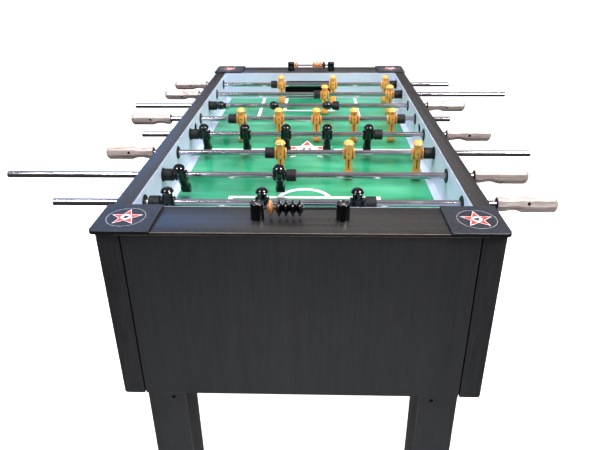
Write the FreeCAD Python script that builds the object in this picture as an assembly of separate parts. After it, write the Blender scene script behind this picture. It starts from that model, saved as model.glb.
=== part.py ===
import FreeCAD, Part
import os
from math import cos, pi, sin
from FreeCAD import Vector

# Foosball table, full size. Millimetres.
# Frame: origin on the floor under the middle of the table, +Z up.
# The rods run along X and the goals face each other along Y; "near" is -Y and "left" is -X.

# ---- driving dimensions ----
TABLE_WIDTH = 762.0            # over the top rails
TABLE_HEIGHT = 914.0           # floor to the top of the rails
CABINET_LENGTH = 1422.0        # outer face of one end panel to the other
CABINET_DEPTH = 395.5          # rail top to the bottom edge of the cabinet
RAIL_OVERHANG = 3.7            # rails stand out past the panels by this much
RAIL_THICKNESS = 6.0
SIDE_RAIL_WIDTH = 37.0
FACING = 3.0                   # white facing of the inner walls, showing inside the rails
FIELD_LENGTH = 1208.0          # between the inner faces of the goal walls
FIELD_BELOW_RAIL = 105.0
ROD_BELOW_RAIL = 29.0
ROD_SPACING = 151.4
ROD_RADIUS = 7.95

# ---- heights ----
CABINET_BOTTOM = TABLE_HEIGHT - CABINET_DEPTH
RAIL_BOTTOM = TABLE_HEIGHT - RAIL_THICKNESS
FIELD_TOP = TABLE_HEIGHT - FIELD_BELOW_RAIL
FIELD_BOTTOM = FIELD_TOP - 12.0
ROD_HEIGHT = TABLE_HEIGHT - ROD_BELOW_RAIL
FLOOR_BOTTOM = CABINET_BOTTOM + 12.0
FLOOR_TOP = FLOOR_BOTTOM + 18.0

# ---- cabinet plan, as half sizes from the middle ----
RAIL_HALF_X = TABLE_WIDTH / 2
PANEL_HALF_X = RAIL_HALF_X - RAIL_OVERHANG
PANEL_HALF_Y = CABINET_LENGTH / 2
RAIL_HALF_Y = PANEL_HALF_Y + RAIL_OVERHANG
LINER_HALF_X = RAIL_HALF_X - SIDE_RAIL_WIDTH
WALL_HALF_X = LINER_HALF_X - FACING
FACING_TOP = TABLE_HEIGHT - 1.0
PANEL_INNER_X = PANEL_HALF_X - 42.4
FIELD_HALF_Y = FIELD_LENGTH / 2
END_RAIL_INNER_Y = FIELD_HALF_Y + FACING
GOAL_WALL_BACK = FIELD_HALF_Y + 12.0
END_PANEL_INNER_Y = PANEL_HALF_Y - 18.0

# ---- goals, ball return and serving holes ----
GOAL_HALF_WIDTH = 101.6
GOAL_HEIGHT = 72.0
GOAL_BOX_BACK = GOAL_WALL_BACK + 64.0
CHUTE_FRONT = GOAL_WALL_BACK + 2.0
CHUTE_BACK = CHUTE_FRONT + 60.0
OUTLET_BOTTOM = 736.0
OUTLET_TOP = 800.0
SERVE_HOLE_RADIUS = 19.0
SERVE_HOLE_HEIGHT = TABLE_HEIGHT - 38.0

# ---- rod fittings ----
BEARING_FLANGE = 2.5
BEARING_SLEEVE_RADIUS = 11.0
RUNNING_GAP = 0.05
FIXED_GAP = 0.02
MAN_HALF_WIDTH = 16.8
MAN_FOOT = -73.2               # sole below the rod's axis
BUMPER_INNER = MAN_HALF_WIDTH + 0.4
BUMPER_OUTER = BUMPER_INNER + 23.5
BUMPER_RADIUS = 15.0
STOP_GAP = 0.4                 # left between a bumper and its bearing at the end of the travel
HANDLE_LENGTH = 126.0
HANDLE_REACH = 405.8           # handle's inner end from the middle with the rod pushed right in

# ---- scorers, caps and legs ----
SCORER_Y = PANEL_HALF_Y - 57.0
SCORE_POST_X = 82.0
SCORE_POST_RADIUS = 13.2
SCORE_POST_HEIGHT = 33.0
SCORE_ROD_HEIGHT = TABLE_HEIGHT + 21.0
SCORE_ROD_RADIUS = 2.6
FAR_SCORER_X = 5.0             # the far scorer stands this far to the right of the middle
BEAD_RADIUS = 16.0
BEAD_THICKNESS = 13.0
BEAD_PITCH = 13.2
CAP_INNER_X = 275.0
CAP_OUTER_X = 386.0
CAP_INNER_Y = 607.0
CAP_OUTER_Y = 719.0
CAP_THICKNESS = 5.0
LEG_SIZE = 86.0
LEG_OUTER_X = PANEL_HALF_X - 31.8
LEG_OUTER_Y = PANEL_HALF_Y - 40.0
LEG_BOTTOM = 18.0

# One row per rod, nearest first: name, men, man spacing, place at rest as a share of the travel
# (-1 left stop, +1 right stop), tilt of the men at rest (degrees, feet away from the near end),
# handle side, and where the bare tip is when the handle is pulled right out.
RODS = [
    ("black_goalie", 3, 204.0, -0.916, 0.0, +1, 361.5),
    ("black_defence", 2, 238.4, -1.0, 34.0, +1, 364.9),
    ("yellow_attack", 3, 181.5, +1.0, 0.0, -1, 359.2),
    ("black_midfield", 5, 119.4, -1.0, 25.0, +1, 364.5),
    ("yellow_midfield", 5, 119.4, +0.5, 0.0, -1, 361.3),
    ("black_attack", 3, 181.5, -1.0, 72.0, +1, 363.8),
    ("yellow_defence", 2, 238.4, +1.0, 0.0, -1, 358.2),
    ("yellow_goalie", 3, 204.0, +1.0, 0.0, -1, 357.0),
]

# Score beads at rest: name, first bead's middle, number of beads, end of the table.
BEADS = [
    ("near_marker_bead", -56.5, 1, -1),
    ("near_counter_beads", -39.8, 4, -1),
    ("far_moved_bead", -55.0, 1, +1),
    ("far_counter_beads", 17.5, 3, +1),
    ("far_marker_bead", 57.3, 1, +1),
]


# ---- helpers ----
def box(x0, x1, y0, y1, z0, z1):
    """A block between opposite corners given in any order."""
    low = Vector(min(x0, x1), min(y0, y1), min(z0, z1))
    return Part.makeBox(abs(x1 - x0), abs(y1 - y0), abs(z1 - z0), low)


def rod_x(radius, x0, x1, y, z):
    """A cylinder along X."""
    return Part.makeCylinder(radius, abs(x1 - x0), Vector(min(x0, x1), y, z), Vector(1, 0, 0))


def rod_z(radius, x, y, z0, z1):
    """A cylinder along Z."""
    return Part.makeCylinder(radius, z1 - z0, Vector(x, y, z0), Vector(0, 0, 1))


def prism(points, depth):
    """A polygon's face swept by a vector."""
    return Part.Face(Part.makePolygon(points + [points[0]])).extrude(depth)


def mirror_x(shape):
    return shape.mirror(Vector(0, 0, 0), Vector(1, 0, 0))


def mirror_y(shape):
    return shape.mirror(Vector(0, 0, 0), Vector(0, 1, 0))


def turned(shape):
    """The same piece at the opposite corner, half a turn about Z."""
    copy = shape.copy()
    copy.rotate(Vector(0, 0, 0), Vector(0, 0, 1), 180)
    return copy


def at_corners(shape):
    """Four copies, one in each quarter of the plan."""
    pair = [shape, mirror_x(shape)]
    return Part.makeCompound(pair + [mirror_y(piece) for piece in pair])


def edges_where(shape, test):
    """Edges whose two end points both pass the test."""
    return [edge for edge in shape.Edges
            if len(edge.Vertexes) == 2 and all(test(vertex.Point) for vertex in edge.Vertexes)]


def save(name, shape):
    shape.exportStep("parts/" + name + ".step")


def rod_y(index):
    """Y of a rod, counting from the near end."""
    return (index - (len(RODS) - 1) / 2) * ROD_SPACING


# ---- cabinet ----
def side_panel():
    """Right side: thick board, rabbeted inside to seat the playfield, bored for the rods."""
    board = box(PANEL_INNER_X, PANEL_HALF_X, -PANEL_HALF_Y, PANEL_HALF_Y, CABINET_BOTTOM, RAIL_BOTTOM)
    bottom_edge = edges_where(board, lambda p: p.x > PANEL_HALF_X - 1 and p.z < CABINET_BOTTOM + 1)
    board = board.makeFillet(6.0, bottom_edge)
    rabbet = box(0, LINER_HALF_X, -GOAL_WALL_BACK, GOAL_WALL_BACK, FIELD_BOTTOM, TABLE_HEIGHT)
    board = board.cut(rabbet)
    for index in range(len(RODS)):
        board = board.cut(rod_x(BEARING_SLEEVE_RADIUS + FIXED_GAP, 300, 400, rod_y(index), ROD_HEIGHT))
    board = board.cut(rod_x(SERVE_HOLE_RADIUS + 2.0, 300, 400, 0, SERVE_HOLE_HEIGHT))
    outlet = box(300, 400, -CHUTE_FRONT + 0.1, -CHUTE_BACK - 0.1, OUTLET_BOTTOM, OUTLET_TOP)
    return board.cut(outlet)


def end_panel():
    """Far end board, let in between the side panels, with eased edges at the seams."""
    board = box(-PANEL_INNER_X, PANEL_INNER_X, END_PANEL_INNER_Y, PANEL_HALF_Y, CABINET_BOTTOM, RAIL_BOTTOM)
    seams = edges_where(board, lambda p: p.y > PANEL_HALF_Y - 1 and abs(p.x) > PANEL_INNER_X - 1)
    bottom = edges_where(board, lambda p: p.y > PANEL_HALF_Y - 1 and p.z < CABINET_BOTTOM + 1)
    return board.makeChamfer(1.5, [edge for edge in seams + bottom if edge.Length > 100])


def side_liner():
    """Thin white facing on the right wall above the playfield."""
    liner = box(WALL_HALF_X, LINER_HALF_X, -FIELD_HALF_Y, FIELD_HALF_Y, FIELD_TOP, FACING_TOP)
    for index in range(len(RODS)):
        liner = liner.cut(rod_x(BEARING_SLEEVE_RADIUS + FIXED_GAP, 300, 400, rod_y(index), ROD_HEIGHT))
    return liner.cut(rod_x(SERVE_HOLE_RADIUS, 300, 400, 0, SERVE_HOLE_HEIGHT))


def goal_wall():
    """Far inner wall with the goal mouth cut through it."""
    wall = box(-LINER_HALF_X, LINER_HALF_X, FIELD_HALF_Y, GOAL_WALL_BACK, FIELD_BOTTOM, RAIL_BOTTOM)
    lip = box(-LINER_HALF_X, LINER_HALF_X, FIELD_HALF_Y, END_RAIL_INNER_Y, RAIL_BOTTOM, FACING_TOP)
    wall = wall.fuse(lip).removeSplitter()
    mouth = box(-GOAL_HALF_WIDTH, GOAL_HALF_WIDTH, FIELD_HALF_Y - 1, GOAL_WALL_BACK + 1,
                FIELD_TOP, FIELD_TOP + GOAL_HEIGHT)
    top = FIELD_TOP + GOAL_HEIGHT
    mouth = mouth.makeFillet(14.0, [
        edge for edge in mouth.Edges
        if abs(edge.CenterOfMass.z - top) < 0.1 and abs(edge.CenterOfMass.x) > GOAL_HALF_WIDTH - 1])
    return wall.cut(mouth)


def playfield():
    """Board the game is played on, resting on the side panels' rabbets."""
    return box(-LINER_HALF_X, LINER_HALF_X, -FIELD_HALF_Y, FIELD_HALF_Y, FIELD_BOTTOM, FIELD_TOP)


def side_ramp():
    """White strip that tips the ball away from the right wall."""
    foot = WALL_HALF_X - 17.0
    profile = [
        Vector(foot, -FIELD_HALF_Y, FIELD_TOP),
        Vector(WALL_HALF_X, -FIELD_HALF_Y, FIELD_TOP),
        Vector(WALL_HALF_X, -FIELD_HALF_Y, FIELD_TOP + 5.0),
        Vector(foot, -FIELD_HALF_Y, FIELD_TOP + 0.8),
    ]
    return prism(profile, Vector(0, FIELD_LENGTH, 0))


def cabinet_floor():
    """Bottom board between the panels, drilled for the leg bolts."""
    board = box(-PANEL_INNER_X, PANEL_INNER_X, -END_PANEL_INNER_Y, END_PANEL_INNER_Y, FLOOR_BOTTOM, FLOOR_TOP)
    for x, y in leg_bolt_places():
        for side_x in (-1, 1):
            for side_y in (-1, 1):
                board = board.cut(rod_z(4.1, side_x * x, side_y * y, 0, TABLE_HEIGHT))
    return board


def side_rail():
    """Right top rail over the whole length, rounded at its outer corners."""
    rail = box(LINER_HALF_X, RAIL_HALF_X, -RAIL_HALF_Y, RAIL_HALF_Y, RAIL_BOTTOM, TABLE_HEIGHT)
    corners = edges_where(rail, lambda p: p.x > RAIL_HALF_X - 1 and abs(p.y) > RAIL_HALF_Y - 1)
    rail = rail.makeFillet(9.0, [edge for edge in corners if edge.Length < 10])
    lip = edges_where(rail, lambda p: p.x > RAIL_HALF_X - 0.1 and p.z > TABLE_HEIGHT - 0.1)
    return rail.makeChamfer(0.8, lip)


def end_rail():
    """Far top rail, between the side rails."""
    rail = box(-LINER_HALF_X, LINER_HALF_X, END_RAIL_INNER_Y, RAIL_HALF_Y, RAIL_BOTTOM, TABLE_HEIGHT)
    lip = edges_where(rail, lambda p: p.y > RAIL_HALF_Y - 0.1 and p.z > TABLE_HEIGHT - 0.1)
    return rail.makeChamfer(0.8, lip)


def cap_outline(x0, x1, y0, y1, z0, z1, outer_radius):
    """Block with its outer plan corner rounded."""
    block = box(x0, x1, y0, y1, z0, z1)
    corner = edges_where(block, lambda p: p.x > x1 - 0.1 and p.y > y1 - 0.1)
    return block.makeFillet(outer_radius, corner)


def corner_cap():
    """Moulded cap over the far right rail corner, with a shallow skirt outside the rails."""
    top = TABLE_HEIGHT + CAP_THICKNESS
    plate = cap_outline(CAP_INNER_X, CAP_OUTER_X, CAP_INNER_Y, CAP_OUTER_Y, TABLE_HEIGHT, top, 11.0)
    rim = [edge for edge in plate.Edges if abs(edge.CenterOfMass.z - top) < 0.01]
    plate = plate.makeFillet(1.5, rim)
    skirt = cap_outline(CAP_INNER_X, CAP_OUTER_X, CAP_INNER_Y, CAP_OUTER_Y,
                        TABLE_HEIGHT - 2.5, TABLE_HEIGHT, 11.0)
    rails = cap_outline(0, RAIL_HALF_X + 0.05, 0, RAIL_HALF_Y + 0.05,
                        TABLE_HEIGHT - 3, TABLE_HEIGHT, 9.0)
    return plate.fuse(skirt.cut(rails)).removeSplitter()


# ---- goals and ball return ----
def goal_box():
    """Tray behind the near goal: its floor slopes to a drop hole over the return chute."""
    shell = box(-108, 108, -GOAL_WALL_BACK, -GOAL_BOX_BACK, 780, 886)
    cavity = prism([
        Vector(-105, -GOAL_WALL_BACK, 795),
        Vector(60, -GOAL_WALL_BACK, 784),
        Vector(60, -GOAL_WALL_BACK, 770),
        Vector(105, -GOAL_WALL_BACK, 770),
        Vector(105, -GOAL_WALL_BACK, 883),
        Vector(-105, -GOAL_WALL_BACK, 883),
    ], Vector(0, GOAL_WALL_BACK - GOAL_BOX_BACK + 3, 0))
    return shell.cut(cavity)


def return_chute():
    """Open trough that carries the ball from the near drop hole to the right side outlet."""
    inner_end = 24.0
    high = 768.0
    low = OUTLET_BOTTOM + 3.0
    outside = prism([
        Vector(inner_end, -CHUTE_FRONT, high - 3),
        Vector(PANEL_HALF_X, -CHUTE_FRONT, OUTLET_BOTTOM),
        Vector(PANEL_HALF_X, -CHUTE_FRONT, low + 18),
        Vector(PANEL_HALF_X - 44, -CHUTE_FRONT, low + 24),
        Vector(inner_end, -CHUTE_FRONT, 779),
    ], Vector(0, CHUTE_FRONT - CHUTE_BACK, 0))
    inside = prism([
        Vector(inner_end + 3, -CHUTE_FRONT - 3, high),
        Vector(PANEL_HALF_X - 4, -CHUTE_FRONT - 3, low),
        Vector(PANEL_HALF_X - 4, -CHUTE_FRONT - 3, high + 60),
        Vector(inner_end + 3, -CHUTE_FRONT - 3, high + 60),
    ], Vector(0, CHUTE_FRONT - CHUTE_BACK + 6, 0))
    lip = box(PANEL_HALF_X - 10, PANEL_HALF_X + 1, -CHUTE_FRONT - 3, -CHUTE_BACK + 3, low + 12, low + 60)
    return outside.cut(inside).cut(lip)


def serve_cup():
    """Plastic lining of the right serving hole, flanged outside."""
    tube = rod_x(SERVE_HOLE_RADIUS + 2.0, LINER_HALF_X, PANEL_HALF_X, 0, SERVE_HOLE_HEIGHT)
    flange = rod_x(SERVE_HOLE_RADIUS + 6.0, PANEL_HALF_X, PANEL_HALF_X + 2.5, 0, SERVE_HOLE_HEIGHT)
    return tube.fuse(flange).cut(rod_x(SERVE_HOLE_RADIUS, 300, 400, 0, SERVE_HOLE_HEIGHT))


# ---- rods and what is on them ----
def rod_bearing(y):
    """Flanged sleeve through the right wall."""
    flange = rod_x(17.5, WALL_HALF_X - BEARING_FLANGE, WALL_HALF_X, y, ROD_HEIGHT)
    sleeve = rod_x(BEARING_SLEEVE_RADIUS, WALL_HALF_X, PANEL_HALF_X + 9, y, ROD_HEIGHT)
    return flange.fuse(sleeve).cut(rod_x(ROD_RADIUS + RUNNING_GAP, 300, 420, y, ROD_HEIGHT))


def bearing_nut(y):
    """Hexagon nut that clamps a bearing from outside."""
    corners = [Vector(PANEL_HALF_X, y + 15 * cos(k * pi / 3), ROD_HEIGHT + 15 * sin(k * pi / 3))
               for k in range(6)]
    nut = prism(corners, Vector(7.5, 0, 0))
    return nut.cut(rod_x(BEARING_SLEEVE_RADIUS + FIXED_GAP, 300, 420, y, ROD_HEIGHT))


def head():
    """Round head under a domed cap with a brim."""
    dome = Part.Arc(Vector(0, 0, 36), Vector(9.8, 0, 33.2), Vector(14.0, 0, 27.6)).toShape()
    below = Part.makePolygon([
        Vector(14.0, 0, 27.6),
        Vector(14.4, 0, 26.2),
        Vector(10.6, 0, 24.8),
        Vector(10.2, 0, 12.0),
        Vector(0, 0, 12.0),
        Vector(0, 0, 36),
    ])
    return Part.Face(Part.Wire([dome] + below.Edges)).revolve(Vector(0, 0, 0), Vector(0, 0, 1), 360)


def man():
    """One player, its bore on the origin and its feet down: front outline crossed with side outline."""
    half_front = [(9, 14), (14.5, 12.5), (MAN_HALF_WIDTH, 9), (MAN_HALF_WIDTH, -13), (14, -17.5),
                  (9.4, -17.5), (9.4, -46), (11.8, -50), (12.4, MAN_FOOT)]
    half_side = [(9, 14), (11.8, 9), (12, -6), (10, -14), (7.5, -18), (7, -46), (9.6, -54), (6, MAN_FOOT)]
    front = [Vector(-x, -30, z) for x, z in half_front] + [Vector(x, -30, z) for x, z in reversed(half_front)]
    side = [Vector(-30, -y, z) for y, z in half_side] + [Vector(-30, y, z) for y, z in reversed(half_side)]
    body = prism(front, Vector(0, 60, 0)).common(prism(side, Vector(60, 0, 0)))
    figure = body.fuse(head())
    figure = figure.cut(rod_x(ROD_RADIUS + FIXED_GAP, -30, 30, 0, 0))
    for face in (-1, 1):
        groove = box(-1.6, 1.6, face * 4.5, face * 30, -43, -21)
        eye = Part.makeCylinder(2.4, 30, Vector(0, face * 4.5, -21), Vector(0, face, 0))
        figure = figure.cut(groove).cut(eye)
    return figure.removeSplitter()


def men(row, y):
    """All the men of one rod at rest."""
    name, count, spacing, place, tilt, handle_side, tip_reach = row
    pieces = []
    for k in range(count):
        figure = man()
        figure.rotate(Vector(0, 0, 0), Vector(1, 0, 0), tilt)
        figure.translate(Vector(middle(row) + (k - (count - 1) / 2) * spacing, y, ROD_HEIGHT))
        pieces.append(figure)
    return Part.makeCompound(pieces)


def outer_man(row):
    """Distance from the middle of the men to the outermost man."""
    return (row[1] - 1) / 2 * row[2]


def travel(row):
    """How far the men's middle can go each way before a bumper meets its bearing."""
    return WALL_HALF_X - BEARING_FLANGE - outer_man(row) - BUMPER_OUTER


def middle(row):
    """X of the men's middle at rest."""
    return row[3] * (travel(row) - STOP_GAP)


def bumpers(row, y):
    """Rubber stops outside the outermost men, ribbed all round."""
    pieces = []
    for side in (-1, 1):
        man_x = middle(row) + side * outer_man(row)
        x0 = man_x + side * BUMPER_INNER
        x1 = man_x + side * BUMPER_OUTER
        stop = rod_x(BUMPER_RADIUS, x0, x1, y, ROD_HEIGHT)
        stop = stop.cut(rod_x(ROD_RADIUS + RUNNING_GAP, -900, 900, y, ROD_HEIGHT))
        for k in range(1, 6):
            x = x0 + (x1 - x0) * k / 6
            groove = rod_x(BUMPER_RADIUS + 1, x - 0.5, x + 0.5, y, ROD_HEIGHT)
            stop = stop.cut(groove.cut(rod_x(BUMPER_RADIUS - 0.6, x - 1, x + 1, y, ROD_HEIGHT)))
        pieces.append(stop)
    return Part.makeCompound(pieces)


def handle_start(row):
    """X of the handle's inner end at rest."""
    return middle(row) + row[5] * (HANDLE_REACH + travel(row))


def octagon(x, across_flats, y):
    """Eight-sided wire round a rod axis, flats up and down."""
    radius = across_flats / 2 / cos(pi / 8)
    points = [Vector(x, y + radius * cos((k + 0.5) * pi / 4), ROD_HEIGHT + radius * sin((k + 0.5) * pi / 4))
              for k in range(8)]
    return Part.makePolygon(points + [points[0]])


def handle(row, y):
    """Octagonal wooden grip with a waist near the table, bored for its rod."""
    stations = [(0, 28.0), (2, 31.5), (9, 31.5), (20, 28.5), (31, 25.5), (44, 25.5), (56, 31.0),
                (64, 34.5), (70, 35.0), (116, 35.0), (122, 29.0), (HANDLE_LENGTH, 20.0)]
    start = handle_start(row)
    wires = [octagon(start + row[5] * distance, size, y) for distance, size in stations]
    grip = Part.makeLoft(wires, True, True)
    bore = rod_x(ROD_RADIUS + FIXED_GAP, start - row[5] * 1, start + row[5] * 110, y, ROD_HEIGHT)
    return grip.cut(bore)


def rod_tube(row, y):
    """Hollow steel rod from inside its handle to the bare tip."""
    inside_handle = handle_start(row) + row[5] * 109
    tip = middle(row) - row[5] * (travel(row) + row[6])
    tube = rod_x(ROD_RADIUS, inside_handle, tip, y, ROD_HEIGHT)
    return tube.cut(rod_x(ROD_RADIUS - 1.6, -900, 900, y, ROD_HEIGHT))


# ---- scorers ----
def score_post():
    """Far right post with a dished top and a blind hole for the score rod."""
    top = TABLE_HEIGHT + SCORE_POST_HEIGHT
    post = rod_z(SCORE_POST_RADIUS, SCORE_POST_X, SCORER_Y, TABLE_HEIGHT, top)
    post = post.makeFillet(1.2, [edge for edge in post.Edges if abs(edge.CenterOfMass.z - top) < 0.01])
    post = post.cut(rod_z(10.5, SCORE_POST_X, SCORER_Y, top - 1.8, top + 1))
    hole = rod_x(SCORE_ROD_RADIUS + FIXED_GAP, 0, SCORE_POST_X - 6, SCORER_Y, SCORE_ROD_HEIGHT)
    return post.cut(hole)


def score_rod():
    """Far thin rod the beads slide on."""
    end = SCORE_POST_X - 7
    return rod_x(SCORE_ROD_RADIUS, -end, end, SCORER_Y, SCORE_ROD_HEIGHT)


def bead(x, y):
    """Double-cone bead with a rounded rim."""
    half = BEAD_THICKNESS / 2
    profile = [(-half, 8.0), (-1.6, BEAD_RADIUS - 0.8), (-0.8, BEAD_RADIUS), (0.8, BEAD_RADIUS),
               (1.6, BEAD_RADIUS - 0.8), (half, 8.0)]
    bore = SCORE_ROD_RADIUS + RUNNING_GAP
    points = [Vector(-half, 0, bore)] + [Vector(along, 0, radius) for along, radius in profile]
    points = points + [Vector(half, 0, bore)]
    face = Part.Face(Part.makePolygon(points + [points[0]]))
    solid = face.revolve(Vector(0, 0, 0), Vector(1, 0, 0), 360)
    solid.translate(Vector(x, y, SCORE_ROD_HEIGHT))
    return solid


# ---- legs ----
def leg():
    """Far right square leg, notched round the side panel and bored for its bolts and foot."""
    post = box(LEG_OUTER_X - LEG_SIZE, LEG_OUTER_X, LEG_OUTER_Y - LEG_SIZE, LEG_OUTER_Y,
               LEG_BOTTOM, FLOOR_BOTTOM)
    uprights = [edge for edge in post.Edges if edge.Length > 200]
    post = post.makeChamfer(1.5, uprights)
    post = post.cut(box(PANEL_INNER_X, TABLE_WIDTH, 0, CABINET_LENGTH, CABINET_BOTTOM, TABLE_HEIGHT))
    for x, y in leg_bolt_places():
        post = post.cut(rod_z(4.1, x, y, FLOOR_BOTTOM - 72, FLOOR_BOTTOM))
    return post.cut(rod_z(5.1, leg_middle_x(), leg_middle_y(), LEG_BOTTOM, LEG_BOTTOM + 32))


def leg_middle_x():
    return LEG_OUTER_X - LEG_SIZE / 2


def leg_middle_y():
    return LEG_OUTER_Y - LEG_SIZE / 2


def leg_bolt_places():
    """Plan positions of the far right leg's two bolts."""
    return [(leg_middle_x() - 18, leg_middle_y() - 20), (leg_middle_x() + 18, leg_middle_y() + 20)]


def leg_bolt(x, y):
    """Round-head bolt down through the cabinet floor into the leg."""
    head_part = rod_z(8.0, x, y, FLOOR_TOP, FLOOR_TOP + 5)
    return head_part.fuse(rod_z(4.0, x, y, FLOOR_BOTTOM - 70, FLOOR_TOP))


def leg_leveler():
    """Adjustable foot: round pad on a stud that screws up into the leg."""
    pad = rod_z(20.0, leg_middle_x(), leg_middle_y(), 0, 9)
    nut = rod_z(9.0, leg_middle_x(), leg_middle_y(), 9, LEG_BOTTOM)
    stud = rod_z(5.0, leg_middle_x(), leg_middle_y(), LEG_BOTTOM, LEG_BOTTOM + 30)
    return pad.fuse(nut).fuse(stud)


# ---- build every node ----
def save_cabinet():
    side = side_panel()
    save("side_panel_right", side)
    save("side_panel_left", turned(side))
    save("end_panel_far", end_panel())
    save("end_panel_near", mirror_y(end_panel()))
    save("side_liners", Part.makeCompound([side_liner(), mirror_x(side_liner())]))
    save("goal_walls", Part.makeCompound([goal_wall(), mirror_y(goal_wall())]))
    save("playfield", playfield())
    save("side_ramps", Part.makeCompound([side_ramp(), mirror_x(side_ramp())]))
    save("cabinet_floor", cabinet_floor())
    save("top_rails_side", Part.makeCompound([side_rail(), mirror_x(side_rail())]))
    save("top_rail_far", end_rail())
    save("top_rail_near", mirror_y(end_rail()))
    save("corner_caps", at_corners(corner_cap()))


def save_fittings():
    save("goal_boxes", Part.makeCompound([goal_box(), turned(goal_box())]))
    save("return_chutes", Part.makeCompound([return_chute(), turned(return_chute())]))
    save("serve_cups", Part.makeCompound([serve_cup(), mirror_x(serve_cup())]))
    places = [rod_y(index) for index in range(len(RODS))]
    bearings = [rod_bearing(y) for y in places]
    nuts = [bearing_nut(y) for y in places]
    save("rod_bearings", Part.makeCompound(bearings + [mirror_x(piece) for piece in bearings]))
    save("bearing_nuts", Part.makeCompound(nuts + [mirror_x(piece) for piece in nuts]))


def save_rods():
    for index, row in enumerate(RODS):
        y = rod_y(index)
        save(row[0] + "_rod", rod_tube(row, y))
        save(row[0] + "_men", men(row, y))
        save(row[0] + "_bumpers", bumpers(row, y))
        save(row[0] + "_handle", handle(row, y))


def save_scorers():
    far = Vector(FAR_SCORER_X, 0, 0)
    pair = [score_post(), mirror_x(score_post())]
    posts = [post.translated(far) for post in pair] + [mirror_y(post) for post in pair]
    save("score_posts", Part.makeCompound(posts))
    save("score_rods", Part.makeCompound([score_rod().translated(far), mirror_y(score_rod())]))
    for name, first, count, end in BEADS:
        stack = [bead(first + k * BEAD_PITCH, end * SCORER_Y) for k in range(count)]
        save(name, Part.makeCompound(stack) if count > 1 else stack[0])


def save_legs():
    save("legs", at_corners(leg()))
    bolts = [leg_bolt(x, y) for x, y in leg_bolt_places()]
    save("leg_bolts", at_corners(Part.makeCompound(bolts)))
    save("leg_levelers", at_corners(leg_leveler()))


os.makedirs("parts", exist_ok=True)
save_cabinet()
save_fittings()
save_rods()
save_scorers()
save_legs()
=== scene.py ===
from math import cos, pi, radians, sin, tan

import bmesh
import bpy
from mathutils import Matrix, Vector


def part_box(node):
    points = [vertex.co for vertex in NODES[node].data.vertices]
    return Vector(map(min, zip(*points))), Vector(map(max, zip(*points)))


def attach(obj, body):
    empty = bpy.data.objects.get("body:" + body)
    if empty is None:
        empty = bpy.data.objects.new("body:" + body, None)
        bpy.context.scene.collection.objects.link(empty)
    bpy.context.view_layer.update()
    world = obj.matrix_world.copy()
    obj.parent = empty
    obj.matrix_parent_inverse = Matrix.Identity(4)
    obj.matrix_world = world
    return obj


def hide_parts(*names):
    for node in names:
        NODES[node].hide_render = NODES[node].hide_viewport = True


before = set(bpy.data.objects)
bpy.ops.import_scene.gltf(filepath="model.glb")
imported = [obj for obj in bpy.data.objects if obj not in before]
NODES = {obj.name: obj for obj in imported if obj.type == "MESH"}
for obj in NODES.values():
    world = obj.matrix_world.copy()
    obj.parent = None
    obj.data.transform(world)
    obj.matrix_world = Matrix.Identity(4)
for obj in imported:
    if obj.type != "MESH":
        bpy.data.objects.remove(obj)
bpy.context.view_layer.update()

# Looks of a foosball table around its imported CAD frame. Shapes are given in millimetres and
# scaled once, where a mesh is made. Y runs from the near goal (-Y) to the far goal (+Y).
MM = 0.001

# ---- Driving dimensions, millimetres ----
RAIL_TOP = 914.0
RAIL_BOTTOM = 908.0
FIELD_TOP = 809.0
FIELD_HALF_X = 324.0           # green part, between the white side strips
FIELD_HALF_Y = 604.0
LINER_HALF_X = 344.0
PANEL_HALF_X = 377.3
RAIL_HALF_X = 381.0
RAIL_HALF_Y = 714.7
CABINET_BOTTOM = 518.5
SEAM = 2.8                     # open joint between an end board and a side board
SERVE_HOLE_HEIGHT = 876.0
ROD_SPACING = 151.4
ROD_HEIGHT = 885.0
ROD_RADIUS = 7.95
SLEEVE_RADIUS = 11.0
BUMPER_LENGTH = 23.5
HANDLE_HOLE = 63.0             # the fixing screw's distance from a handle's inner end
MAN_EYE = -18.8                # height of the round end of the slot in a man's leg
LINE_WIDTH = 11.0
PRINT_THICKNESS = 0.15
CAP_TOP = 919.0
CAP_INNER_X = 275.0
CAP_OUTER_X = 386.0
CAP_INNER_Y = 607.0
CAP_OUTER_Y = 719.0
CAP_SHIFT = 2.0                # the caps sit this far to the left
BADGE_X = 333.0
BADGE_Y = 664.0
SCORE_ROD_HEIGHT = 935.0
FAR_SCORER_X = 5.0             # the far scorer stands this far to the right
SCORER_Y = 654.0
SCORE_POST_X = 82.0
SCORE_POST_TOP = 947.0
BEAD_PITCH = 13.2
LEG_X = 302.5
LEG_Y = 628.0
LEG_HALF = 43.0
LEG_TOP = 530.5
LEG_SCREW_HEIGHT = 466.0

# Rods, nearest first: name, men, spacing, tilt of the men (degrees), handle side, handle's roll.
RODS = [
    ("black_goalie", 3, 204.0, 0.0, +1, 27.0),
    ("black_defence", 2, 238.4, 34.0, +1, -33.0),
    ("yellow_attack", 3, 181.5, 0.0, -1, 16.0),
    ("black_midfield", 5, 119.4, 25.0, +1, 8.0),
    ("yellow_midfield", 5, 119.4, 0.0, -1, 2.0),
    ("black_attack", 3, 181.5, 72.0, +1, -12.0),
    ("yellow_defence", 2, 238.4, 0.0, -1, -18.0),
    ("yellow_goalie", 3, 204.0, 0.0, -1, -11.0),
]


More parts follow.
